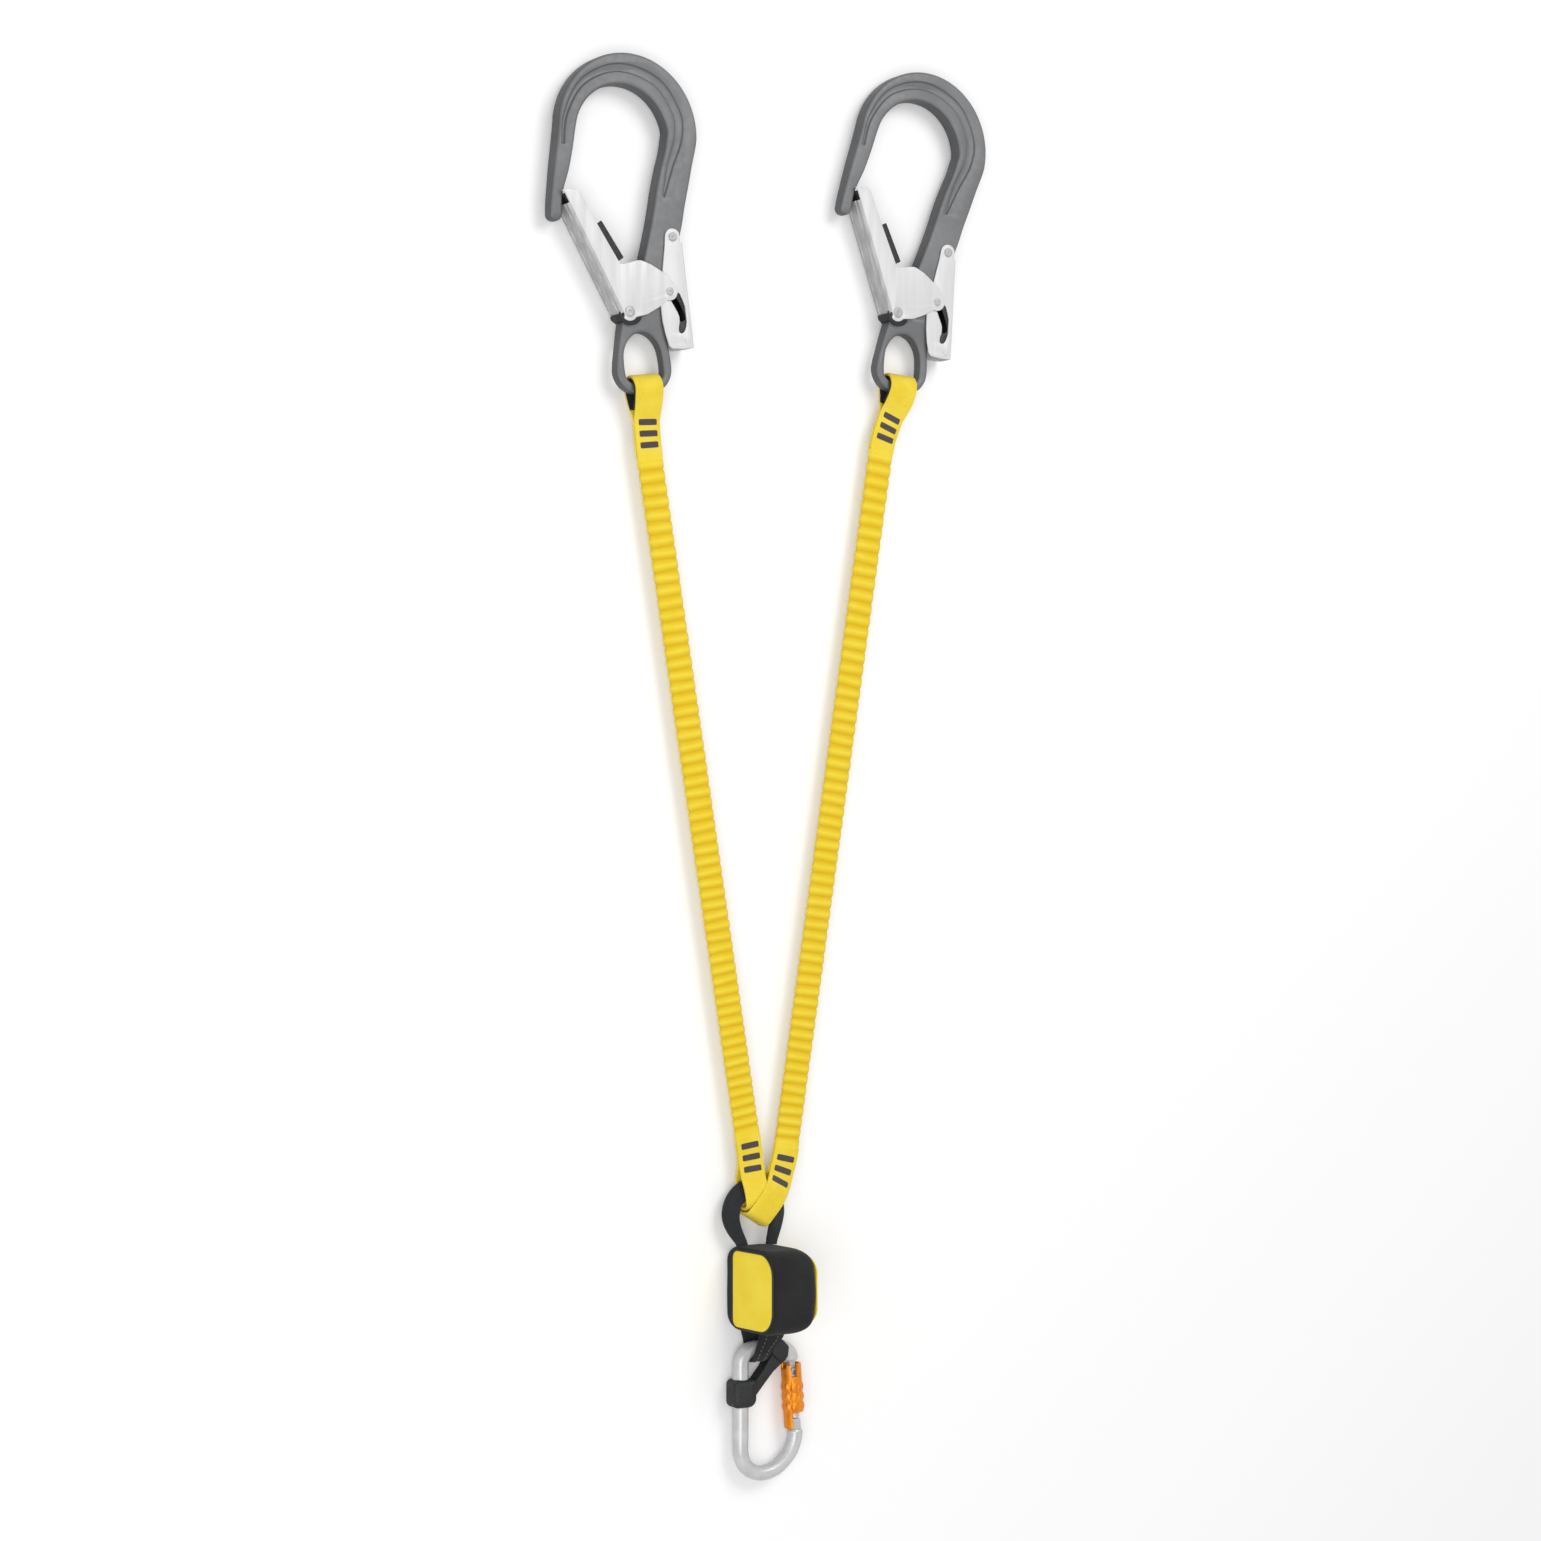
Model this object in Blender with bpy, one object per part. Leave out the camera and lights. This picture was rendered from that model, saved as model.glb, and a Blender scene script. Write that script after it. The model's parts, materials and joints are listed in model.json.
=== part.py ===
"""A twin shock-absorbing lanyard, laid out flat on its back.

Two large forged hooks hang on ribbed elastic webbing arms. The arms meet in a black webbing ring
at the mouth of an absorber pouch, and a loop below the pouch holds a locking carabiner.
The hooks point to +Y, +Z is up, and the whole lies on Z = 0.
"""

import math

import bmesh
import bpy
from mathutils import Matrix
from mathutils import Vector
from mathutils.geometry import tessellate_polygon

MM = 0.001

# The centre of the whole, which the last step moves to the origin.
LAYOUT_X = -4.07
LAYOUT_Y = 2.28

GAP = 0.3
STRAP = 2.0

# Arms: neck hinges near the ring, how far up and aside the hooks' eye bars lie from them,
# and how far below and beside the bars the elastic webbing ends.
LEFT_NECK = (-25.0, -261.0)
RIGHT_NECK = (7.0, -270.5)
LEFT_REACH = 529.0
RIGHT_REACH = 551.0
LEFT_SPREAD = -84.5
RIGHT_SPREAD = 93.9
UPPER_NECK = 49.0
LEFT_SWAY = -3.0
RIGHT_SWAY = -6.5
NECK_GAP = 0.36

# Hooks: eye bar centres and leans.
LEFT_EYE = (LEFT_NECK[0] + LEFT_SPREAD, LEFT_NECK[1] + LEFT_REACH)
LEFT_LEAN = 7.5
RIGHT_EYE = (RIGHT_NECK[0] + RIGHT_SPREAD, RIGHT_NECK[1] + RIGHT_REACH)
RIGHT_LEAN = -3.5

# Hook frame.
HOOK_HALF = 6.5
NOSE_HALF = 5.5
EYE_HALF = 5.0
HEAD = (9.5, 178.5)
HEAD_R = 54.3
MOUTH = (4.0, 175.0)
MOUTH_R = 36.0
NOSE = (-53.8, 123.8)
NOSE_R = 4.6
PIVOT = (-8.0, 53.0)
BOSS_R = 5.0
LEVER_PIVOT = (33.5, 103.0)
FOLLOWER = (25.5, 65.0)
GROOVE_DEPTH = 1.5
EYE_MID = 1.0
EYE_OUT = 22.0
EYE_IN = 15.0
BAR_HALF = 4.0

# Gate and lever.
LEVER_LOW = HOOK_HALF + GAP
LEVER_HIGH = LEVER_LOW + 1.1
LEVER_TURN = 7.5
GATE_LOW = LEVER_HIGH + GAP
GATE_HIGH = GATE_LOW + 1.2
GATE_OPEN = 30.0
GATE_SHANK = 2.6
LEVER_SHANK = 2.0
FOLLOWER_SHANK = 1.8
HEAD_TOP = GATE_HIGH + 0.8
WEB_IN = 5.3
WEB_OUT = 6.5

# The hooks lie on their rivet heads, and the straps run at the same height.
AXIS_Z = HEAD_TOP

# Webbing ring.
RING = (-19.4, -316.5)
RING_R = 19.2
RING_WIDTH = 13.3
RING_STRAP = 4.2
RING_TILT = 20.0
RING_DROP = 22.7
FLEX_Y = RING[1] - RING_DROP
ROOTS = (RING[0] - 9.8, RING[0] + 14.1)

# Absorber pouch.
POUCH_WIDTH = 37.0
POUCH_LENGTH = 59.5
POUCH_HEIGHT = 56.0
POUCH_SHIFT = 8.5
POUCH_X0 = RING[0] - 18.1
POUCH_X1 = POUCH_X0 + POUCH_WIDTH
POUCH_Y1 = FLEX_Y + 0.7
POUCH_Y0 = POUCH_Y1 - POUCH_LENGTH
POUCH_WALL = 1.4
POUCH_CORNERS = (6.5, 2.0, 4.0, 4.5)
POUCH_END = 11.0

# Carabiner.
ROD_Z = 9.7
ROD_R = 5.8
LOOP_DROP = 15.2
CARA_LENGTH = 89.3
CARA_WIDTH = 44.2
TOP_Y = POUCH_Y0 - LOOP_DROP
CARA_LOW = TOP_Y - CARA_LENGTH
SPINE_X = -30.3
CARA_PIVOT = (SPINE_X + CARA_WIDTH - 2.3, TOP_Y - 18.8)
CARA_AXIS = (0.0655, -0.99785)
SLEEVE_R = 7.6
SLEEVE_BORE = 5.7
SLEEVE_TOP = -5.9
GATE_TIP = CARA_LENGTH - 55.9
SLEEVE_END = GATE_TIP + 7.2
TONGUE_TOP = GATE_TIP + 0.7
TONGUE_END = GATE_TIP + 8.3
LOOP_R = 8.25
LOOP_STRAP = 2.1
LOOP_X = SPINE_X + 13.1


def rotated(point, degrees, centre=(0.0, 0.0)):
    """The plan point turned about a centre, counter-clockwise from above."""
    c = math.cos(math.radians(degrees))
    s = math.sin(math.radians(degrees))
    x = point[0] - centre[0]
    y = point[1] - centre[1]
    return (centre[0] + c * x - s * y, centre[1] + s * x + c * y)


def lean_direction(degrees):
    """The plan direction that leans from +Y towards -X."""
    return (-math.sin(math.radians(degrees)), math.cos(math.radians(degrees)))


def arc(centre, radius, start, end, count, radius_y=None):
    """Points on an arc or on part of an ellipse."""
    ry = radius if radius_y is None else radius_y
    points = []
    for i in range(count + 1):
        a = math.radians(start + (end - start) * i / count)
        points.append((centre[0] + radius * math.cos(a), centre[1] + ry * math.sin(a)))
    return points


def smooth(points, steps, closed=False):
    """A curve through the points, with even steps in each span. Points may have 2 or 3 values."""
    size = len(points)
    spans = size if closed else size - 1
    result = []
    for i in range(spans):
        if closed:
            p0, p1, p2, p3 = (points[(i + k) % size] for k in (-1, 0, 1, 2))
        else:
            p0 = points[max(i - 1, 0)]
            p1 = points[i]
            p2 = points[i + 1]
            p3 = points[min(i + 2, size - 1)]
        for k in range(steps):
            t = k / steps
            result.append(
                tuple(
                    0.5
                    * (
                        2 * b
                        + (c - a) * t
                        + (2 * a - 5 * b + 4 * c - d) * t * t
                        + (3 * b - a - 3 * c + d) * t ** 3
                    )
                    for a, b, c, d in zip(p0, p1, p2, p3)
                )
            )
    if not closed:
        result.append(tuple(points[-1]))
    return result


def bezier(p0, p1, p2, p3, count):
    """Points on a cubic curve."""
    result = []
    for i in range(count + 1):
        t = i / count
        u = 1 - t
        result.append(
            tuple(
                a * u ** 3 + 3 * b * u * u * t + 3 * c * u * t * t + d * t ** 3
                for a, b, c, d in zip(p0, p1, p2, p3)
            )
        )
    return result


def area(loop):
    return 0.5 * sum(
        a[0] * b[1] - b[0] * a[1] for a, b in zip(loop, loop[1:] + loop[:1])
    )


def turned(loop, left):
    """The loop, turned so that the material lies to its left (left True) or right."""
    loop = [tuple(p) for p in loop]
    return loop if (area(loop) > 0) == left else loop[::-1]


def offset(loop, distance):
    """Each point moved to the left of the loop's run, mitred; distance may depend on the point."""
    result = []
    size = len(loop)
    for i in range(size):
        before = Vector(loop[i]) - Vector(loop[i - 1])
        after = Vector(loop[(i + 1) % size]) - Vector(loop[i])
        before.normalize()
        after.normalize()
        n0 = Vector((-before.y, before.x))
        n1 = Vector((-after.y, after.x))
        middle = n0 + n1
        scale = 2.0 / max(middle.length_squared, 0.8)
        reach = distance(loop[i]) if callable(distance) else distance
        moved = Vector(loop[i]) + middle * scale * reach
        result.append((moved.x, moved.y))
    return result


def rounded(left, right, low, high, radii, steps=4):
    """A rectangle with round corners, from the high right corner on towards the left."""
    loop = []
    for k, (x, y) in enumerate(((right, high), (left, high), (left, low), (right, low))):
        r = radii[k]
        inward = (-1, 1, 1, -1)[k]
        downward = (-1, -1, 1, 1)[k]
        loop += arc((x + inward * r, y + downward * r), r, 90 * k, 90 * k + 90, steps)
    return loop


def band(points, widths):
    """The outline of a stripe along the points, with a width at each."""
    sides = ([], [])
    size = len(points)
    for i, point in enumerate(points):
        along = Vector(points[min(i + 1, size - 1)]) - Vector(points[max(i - 1, 0)])
        along.normalize()
        across = Vector((-along.y, along.x)) * widths[i] / 2
        sides[0].append((point[0] + across.x, point[1] + across.y))
        sides[1].append((point[0] - across.x, point[1] - across.y))
    return sides[0] + sides[1][::-1]


def stadium(points, width, steps=4):
    """A stripe of one width with half-round ends."""
    size = len(points)
    sides = band(points, [width] * size)
    ends = []
    for tip, near in ((points[-1], points[-2]), (points[0], points[1])):
        heading = math.degrees(math.atan2(tip[1] - near[1], tip[0] - near[0]))
        ends.append(arc(tip, width / 2, heading + 90, heading - 90, steps)[1:-1])
    return sides[:size] + ends[0] + sides[size:] + ends[1]


def make_mesh(name, points, faces):
    """A mesh from points in millimetres, with its faces pointing out."""
    mesh = bpy.data.meshes.new(name)
    mesh.from_pydata([Vector(p) * MM for p in points], [], faces)
    bm = bmesh.new()
    bm.from_mesh(mesh)
    bmesh.ops.recalc_face_normals(bm, faces=bm.faces)
    bm.to_mesh(mesh)
    bm.free()
    mesh.shade_smooth()
    mesh.set_sharp_from_angle(angle=math.radians(32))
    return mesh


def shape_slab(outline, low, high, holes=(), chamfer=0.0, pockets=(), warp=None):
    """A plate with holes, chamfered edges and shallow pockets in both faces."""
    points = []
    faces = []

    def ring(loop, height):
        start = len(points)
        points.extend((p[0], p[1], height(p)) for p in loop)
        return list(range(start, len(points)))

    def cap(rings):
        flat = [[Vector((points[i][0], points[i][1], 0)) for i in r] for r in rings]
        index = [i for r in rings for i in r]
        for a, b, c in tessellate_polygon(flat):
            faces.append((index[a], index[b], index[c]))

    def wall(lower, upper):
        size = len(lower)
        for i in range(size):
            j = (i + 1) % size
            faces.append((lower[i], lower[j], upper[j], upper[i]))

    top = []
    bottom = []
    loops = [turned(outline, True)] + [turned(h, False) for h in holes]
    for loop in loops:
        if chamfer:
            cut = chamfer if callable(chamfer) else lambda point: chamfer
            inner = offset(loop, cut)
            rings = [
                ring(inner, lambda point: low),
                ring(loop, lambda point: low + cut(point)),
                ring(loop, lambda point: high - cut(point)),
                ring(inner, lambda point: high),
            ]
        else:
            rings = [ring(loop, lambda point: low), ring(loop, lambda point: high)]
        for lower, upper in zip(rings, rings[1:]):
            wall(lower, upper)
        bottom.append(rings[0])
        top.append(rings[-1])
    for loop, depth, draft in pockets:
        rim = turned(loop, False)
        floor = offset(rim, -draft)
        for face, level, inward in ((top, high, -depth), (bottom, low, depth)):
            edge = ring(rim, lambda point, z=level: z)
            base = ring(floor, lambda point, z=level + inward: z)
            wall(edge, base)
            cap([base])
            face.append(edge)
    cap(top)
    cap(bottom)
    if warp:
        points = [warp(p) for p in points]
    return points, faces


def shape_loft(rings, closed=False):
    """A skin over rings of equally many points, with flat ends unless closed."""
    size = len(rings[0])
    points = [p for r in rings for p in r]
    faces = []
    count = len(rings)
    for i in range(count if closed else count - 1):
        a = i * size
        b = (i + 1) % count * size
        for k in range(size):
            j = (k + 1) % size
            faces.append((a + k, a + j, b + j, b + k))
    if not closed:
        faces.append(tuple(range(size))[::-1])
        faces.append(tuple(range((count - 1) * size, count * size)))
    return points, faces


def shape_tube(path, radius, sides, closed=False):
    """A round bar along 3-D points; radius is a number or a list."""
    size = len(path)
    radii = radius if isinstance(radius, list) else [radius] * size
    rings = []
    side = None
    for i in range(size):
        if closed:
            along = Vector(path[(i + 1) % size]) - Vector(path[i - 1])
        else:
            along = Vector(path[min(i + 1, size - 1)]) - Vector(path[max(i - 1, 0)])
        along.normalize()
        if side is None:
            up = Vector((0, 0, 1)) if abs(along.z) < 0.8 else Vector((1, 0, 0))
            side = up.cross(along)
        side = side - along * side.dot(along)
        side.normalize()
        other = along.cross(side)
        centre = Vector(path[i])
        ring = []
        for k in range(sides):
            a = 2 * math.pi * (k + 0.5) / sides
            ring.append(tuple(centre + radii[i] * (math.cos(a) * side + math.sin(a) * other)))
        rings.append(ring)
    return shape_loft(rings, closed)


def shape_lathe(profile, sides):
    """A solid turned about Z from (radius, z) pairs that start and end on the axis."""
    points = [(0, 0, profile[0][1]), (0, 0, profile[-1][1])]
    faces = []
    rings = []
    for radius, z in profile[1:-1]:
        start = len(points)
        for k in range(sides):
            a = 2 * math.pi * k / sides
            points.append((radius * math.cos(a), radius * math.sin(a), z))
        rings.append(start)
    for k in range(sides):
        j = (k + 1) % sides
        faces.append((0, rings[0] + k, rings[0] + j))
        faces.append((1, rings[-1] + k, rings[-1] + j))
        for a, b in zip(rings, rings[1:]):
            faces.append((a + k, a + j, b + j, b + k))
    return points, faces


def moved(shape, x=0.0, y=0.0, z=0.0):
    points, faces = shape
    return [(a + x, b + y, c + z) for a, b, c in points], faces


def combine(name, base, others, operation):
    """The base mesh with the other shapes cut out of it or joined to it."""
    target = bpy.data.objects.new(name, make_mesh(name, *base))
    bpy.context.scene.collection.objects.link(target)
    helpers = []
    for i, shape in enumerate(others):
        helper = bpy.data.objects.new(f"{name}_tool", make_mesh(f"{name}_tool", *shape))
        bpy.context.scene.collection.objects.link(helper)
        step = target.modifiers.new(f"step_{i}", "BOOLEAN")
        step.operation = operation
        step.solver = "EXACT"
        step.object = helper
        helpers.append(helper)
    graph = bpy.context.evaluated_depsgraph_get()
    result = bpy.data.meshes.new_from_object(target.evaluated_get(graph))
    for one in helpers + [target]:
        bpy.data.objects.remove(one)
    points = [tuple(v.co / MM) for v in result.vertices]
    faces = [tuple(p.vertices) for p in result.polygons]
    bpy.data.meshes.remove(result)
    return points, faces


class Plan:
    """A plan curve with lengths along it, which runs on straight past its ends."""

    def __init__(self, points):
        self.points = [Vector(p) for p in points]
        self.at = [0.0]
        for a, b in zip(self.points, self.points[1:]):
            self.at.append(self.at[-1] + (b - a).length)

    def place(self, s):
        last = len(self.points) - 2
        i = 0
        while i < last and self.at[i + 1] < s:
            i += 1
        along = (self.points[i + 1] - self.points[i]).normalized()
        return self.points[i] + along * (s - self.at[i]), along

    def heading(self, s):
        """The run's direction, eased over a few millimetres."""
        total = Vector((0, 0))
        for k in (-2, -1, 0, 1, 2):
            total += self.place(s + 1.5 * k)[1]
        return total.normalized()


def strap_shape(stations, thickness):
    """A flat strap through (centre, across, normal, half width) stations."""
    rings = []
    half = thickness / 2
    for centre, across, normal, width in stations:
        rings.append(
            [
                tuple(centre + across * a * (width - b * half) + normal * c * half)
                for a, b, c in (
                    (1, 0, 0),
                    (1, 0.7, 1),
                    (-1, 0.7, 1),
                    (-1, 0, 0),
                    (-1, 0.7, -1),
                    (1, 0.7, -1),
                )
            ]
        )
    return shape_loft(rings)


def strap_stations(plan, profile, width):
    """Stations of a strap that folds in the upright plane over a plan curve."""
    stations = []
    size = len(profile)
    for i, (s, z) in enumerate(profile):
        before = profile[max(i - 1, 0)]
        after = profile[min(i + 1, size - 1)]
        slope = Vector((after[0] - before[0], after[1] - before[1])).normalized()
        place, _ = plan.place(s)
        along = plan.heading(s)
        across = Vector((along.y, -along.x, 0))
        centre = Vector((place.x, place.y, z))
        normal = Vector((-slope.y * along.x, -slope.y * along.y, slope.x))
        stations.append((centre, across, normal, width(s)))
    return stations


def offset_profile(profile, distance):
    """The (s, z) profile moved to its left."""
    size = len(profile)
    result = []
    for i, (s, z) in enumerate(profile):
        before = profile[max(i - 1, 0)]
        after = profile[min(i + 1, size - 1)]
        slope = Vector((after[0] - before[0], after[1] - before[1])).normalized()
        result.append((s - slope.y * distance, z + slope.x * distance))
    return result


def blend_value(value, start, end, first, last):
    """Eases from first to last as value goes from start to end."""
    t = min(max((value - start) / (end - start), 0.0), 1.0)
    t = t * t * (3 - 2 * t)
    return first + (last - first) * t


materials = {}


def material(slot, colour, roughness, metallic):
    made = bpy.data.materials.new(slot)
    made.use_nodes = True
    shader = made.node_tree.nodes["Principled BSDF"]
    shader.inputs["Base Color"].default_value = (*colour, 1.0)
    shader.inputs["Roughness"].default_value = roughness
    shader.inputs["Metallic"].default_value = metallic
    materials[slot] = made


def add(name, mesh, slot, parent):
    """A named piece on its parent's axis."""
    if isinstance(mesh, tuple):
        mesh = make_mesh(name, *mesh)
    if not mesh.materials:
        mesh.materials.append(materials[slot])
    piece = bpy.data.objects.new(name, mesh)
    bpy.context.scene.collection.objects.link(piece)
    piece.parent = parent
    return piece


def axis(name, x, y, z, lean=0.0, parent=None):
    """An empty on a joint's axis."""
    empty = bpy.data.objects.new(name, None)
    empty.empty_display_size = 0.01
    empty.location = (x * MM, y * MM, z * MM)
    empty.rotation_euler = (0.0, 0.0, math.radians(lean))
    empty.parent = parent
    bpy.context.scene.collection.objects.link(empty)
    return empty


def hook_warp(point):
    """The hook thins from the head and spine to the eye and to the nose."""
    x, y, z = point
    half = blend_value(y, 70.0, 22.0, HOOK_HALF, EYE_HALF)
    if x < -20.0 and y > 80.0:
        half = blend_value(y, 172.0, 126.0, HOOK_HALF, NOSE_HALF)
    return (x, y, z * half / HOOK_HALF)


def hook_chamfer(point):
    """The edges are broken more round the eye bar, and less at the rivet holes."""
    wide = blend_value(point[1], 40.0, 22.0, 1.2, 2.4)
    near = min(
        math.hypot(point[0] - centre[0], point[1] - centre[1])
        for centre in (PIVOT, LEVER_PIVOT)
    )
    return blend_value(near, BOSS_R + 0.2, BOSS_R + 7.0, 0.5, wide)


def wall_place(degrees, share):
    """A point between the mouth's arc and the head's arc, and how thick the wall is there."""
    x = math.cos(math.radians(degrees))
    y = math.sin(math.radians(degrees))
    dx = HEAD[0] - MOUTH[0]
    dy = HEAD[1] - MOUTH[1]
    half = dx * x + dy * y
    inner = math.sqrt(half * half - dx * dx - dy * dy + MOUTH_R * MOUTH_R) - half
    wall = HEAD_R - inner
    reach = inner + share * wall
    return HEAD[0] + reach * x, HEAD[1] + reach * y, wall


def groove_path():
    """The middle of the shallow groove in the hook's faces, with its width at each point."""
    path = [(-43.0, 171.0, 2.6)]
    for degrees, share, wide in (
        (163.8, 0.67, 0.25),
        (131.2, 0.6, 0.29),
        (93.2, 0.53, 0.3),
        (52.3, 0.5, 0.3),
        (16.2, 0.45, 0.3),
        (-9.7, 0.345, 0.3),
    ):
        x, y, wall = wall_place(degrees, share)
        path.append((x, y, wide * wall))
    path += [(38.6, 152.0, 5.6), (31.0, 131.0, 2.4)]
    return path


def hook_frame_shape():
    outline = arc(HEAD, HEAD_R, -9, 172, 22)
    outline += [(-47.6, 172.0), (-52.2, 154.0)]
    outline += arc(NOSE, NOSE_R, 170, 362, 6)
    outline += [(-49.0, 128.0), (-46.5, 139.0), (-40.5, 153.0), (-35.5, 168.0)]
    outline += arc(MOUTH, MOUTH_R, 165, 3, 14)
    outline += [(38.6, 172.0), (36.3, 164.0), (31.0, 151.0), (26.0, 137.0), (21.5, 122.0)]
    outline += [(16.0, 106.0), (11.5, 94.0), (5.0, 78.0), (-2.0, 65.0)]
    outline += arc(PIVOT, BOSS_R, 62, 232, 6)
    outline += [(-12.8, 45.0), (-17.0, 31.0)]
    low_left = (EYE_MID - EYE_OUT + 17.0, 13.0)
    low_right = (EYE_MID + EYE_OUT - 17.0, 13.0)
    outline += arc(low_left, 17.0, 180, 270, 5)
    outline += arc(low_right, 17.0, 270, 360, 5)
    outline += [(22.3, 28.0), (21.0, 42.0), (21.5, 50.0), (22.0, 60.0), (24.0, 71.0)]
    outline += [(33.5, 90.0), (38.5, 100.0), (43.5, 111.0), (46.8, 122.0), (52.0, 137.0)]
    outline += [(57.0, 152.0), (61.4, 164.0)]
    hole = arc((EYE_MID + EYE_IN - 6.5, 10.5), 6.5, 270, 360, 3)
    hole += arc((EYE_MID, 20.0), EYE_IN, 0, 180, 9, 18.5)
    hole += arc((EYE_MID - EYE_IN + 6.5, 10.5), 6.5, 180, 270, 3)
    path = smooth(groove_path(), 3)
    widths = [point[2] for point in path]
    pocket = (band([point[:2] for point in path], widths), GROOVE_DEPTH, 0.8)
    holes = [hole]
    for centre, shank in ((PIVOT, GATE_SHANK), (LEVER_PIVOT, LEVER_SHANK)):
        holes.append(arc(centre, shank + GAP + 0.1, 0, 330, 11))
    return shape_slab(
        outline, -HOOK_HALF, HOOK_HALF, holes, hook_chamfer, [pocket], hook_warp
    )


def lever_path():
    """Where the follower rivet stands in the lever as the gate opens."""
    path = []
    for i in range(6):
        part = i / 5
        point = rotated(FOLLOWER, -GATE_OPEN * part, PIVOT)
        path.append(rotated(point, LEVER_TURN * part, LEVER_PIVOT))
    return path


def gate_line(across, along):
    """A plan point measured from the pivot, along and out from the gate's web."""
    run = Vector((-0.3815, 0.9244))
    out = Vector((-0.9244, -0.3815))
    point = Vector(PIVOT) + run * along + out * across
    return (point.x, point.y)


def gate_shapes():
    """The gate's plates and web, its inner strip, and its follower rivet."""
    outline = [gate_line(WEB_OUT - 0.1, 93.5), (-50.5, 139.6), (-38.6, 140.4), (-36.0, 137.5)]
    outline += [(-26.0, 116.0), (-10.9, 86.2), (-4.0, 86.9), (4.4, 88.6), (13.0, 84.8)]
    outline += [(21.6, 79.0), (26.5, 74.5)]
    outline += arc(FOLLOWER, 6.2, 50, -110, 5)
    outline += [(16.2, 54.9), (6.0, 50.4)]
    outline += arc(PIVOT, 6.3, -40, -155, 5)
    pivot_hole = arc(PIVOT, GATE_SHANK + GAP + 0.1, 0, 330, 11)
    rivet_hole = arc(FOLLOWER, FOLLOWER_SHANK + GAP + 0.1, 0, 324, 9)
    plates = [
        shape_slab(outline, low, high, [pivot_hole, rivet_hole])
        for low, high in ((GATE_LOW, GATE_HIGH), (-GATE_HIGH, -GATE_LOW))
    ]
    web = [
        gate_line(WEB_IN, -1.0),
        gate_line(WEB_OUT, -1.0),
        gate_line(WEB_OUT, 83.0),
        gate_line(WEB_IN, 83.0),
    ]
    reach = GATE_HIGH - 0.5
    web_shape = shape_slab(web, -reach, reach)
    gate = combine("gate_shape", plates[0], [web_shape, plates[1]], "UNION")
    strip = [(-24.6, 115.4), (-12.0, 88.9), (-14.9, 88.0), (-27.5, 114.2)]
    bumper = shape_slab(strip, GAP - GATE_LOW, GATE_LOW - GAP, chamfer=0.5)
    return gate, bumper


def lever_shape():
    edge = 25.3
    outline = arc(LEVER_PIVOT, 6.0, 20, 170, 5)
    outline += [(26.4, 97.0), (22.4, 80.0), (19.6, 66.0), (17.9, 55.0), (18.0, 45.0)]
    outline += [(19.3, 35.0), (21.2, edge + 2.0), (23.4, edge), (31.0, 24.6), (38.8, 24.3)]
    outline += [(40.6, 25.6), (41.1, 28.0), (41.1, 92.0)]
    hole = arc(LEVER_PIVOT, LEVER_SHANK + GAP + 0.1, 0, 324, 9)
    pin_hole = arc((36.0, 29.0), 1.2 + GAP + 0.1, 0, 315, 7)
    plates = [
        shape_slab(outline, low, high, [hole, pin_hole])
        for low, high in ((LEVER_LOW, LEVER_HIGH), (-LEVER_HIGH, -LEVER_LOW))
    ]
    reach = LEVER_HIGH - 0.4
    web = shape_slab(
        [(39.9, 26.5), (41.2, 26.5), (41.2, 92.5), (39.9, 92.5)], -reach, reach
    )
    path = lever_path()
    wide = 2 * (FOLLOWER_SHANK + 0.45)
    slot = shape_slab(stadium(path, wide), -LEVER_HIGH - 4.0, LEVER_HIGH + 4.0)
    tail = [(32.4, 63.6), (30.9, 57.5), (31.9, 51.0), (31.4, 43.5), (30.1, 37.8), (31.6, 35.4)]
    tail += [(34.6, 37.0), (37.0, 43.0), (37.7, 50.0), (36.8, 55.5), (35.0, 60.5)]
    notch = shape_slab(tail, -LEVER_HIGH - 3.0, LEVER_HIGH + 3.0)
    lever = combine("lever_shape", plates[0], [web, plates[1]], "UNION")
    return combine("lever_cut", lever, [slot, notch], "DIFFERENCE")


def rivet(shank, head, under, top, sides=12):
    """A through rivet with a flat head at both ends, axis Z."""
    profile = [(0, -top), (head - 0.3, -top), (head, -top + 0.3), (head, -under)]
    profile += [(shank, -under), (shank, under), (head, under), (head, top - 0.3)]
    profile += [(head - 0.3, top), (0, top)]
    return shape_lathe(profile, sides)


def gate_spring_shape():
    """A flat wire spiral about the pivot, between the frame and a gate plate."""
    path = []
    turns = 1.6
    count = 18
    for i in range(count + 1):
        a = 2 * math.pi * turns * i / count
        radius = 3.6 + 1.3 * i / count
        path.append((radius * math.cos(a), radius * math.sin(a), LEVER_LOW + 0.55))
    return shape_tube(path, 0.42, 4)


def lever_spring_shape():
    """A coil between the frame's back and the lever's web, axis X."""
    start = 22.4
    end = 39.3
    turns = 4
    count = 32
    path = []
    for i in range(count + 1):
        t = i / count
        a = 2 * math.pi * turns * t
        x = start + (end - start) * t
        path.append((x, 34.5 + 3.0 * math.cos(a), 3.0 * math.sin(a)))
    return shape_tube(path, 0.45, 4)


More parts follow.
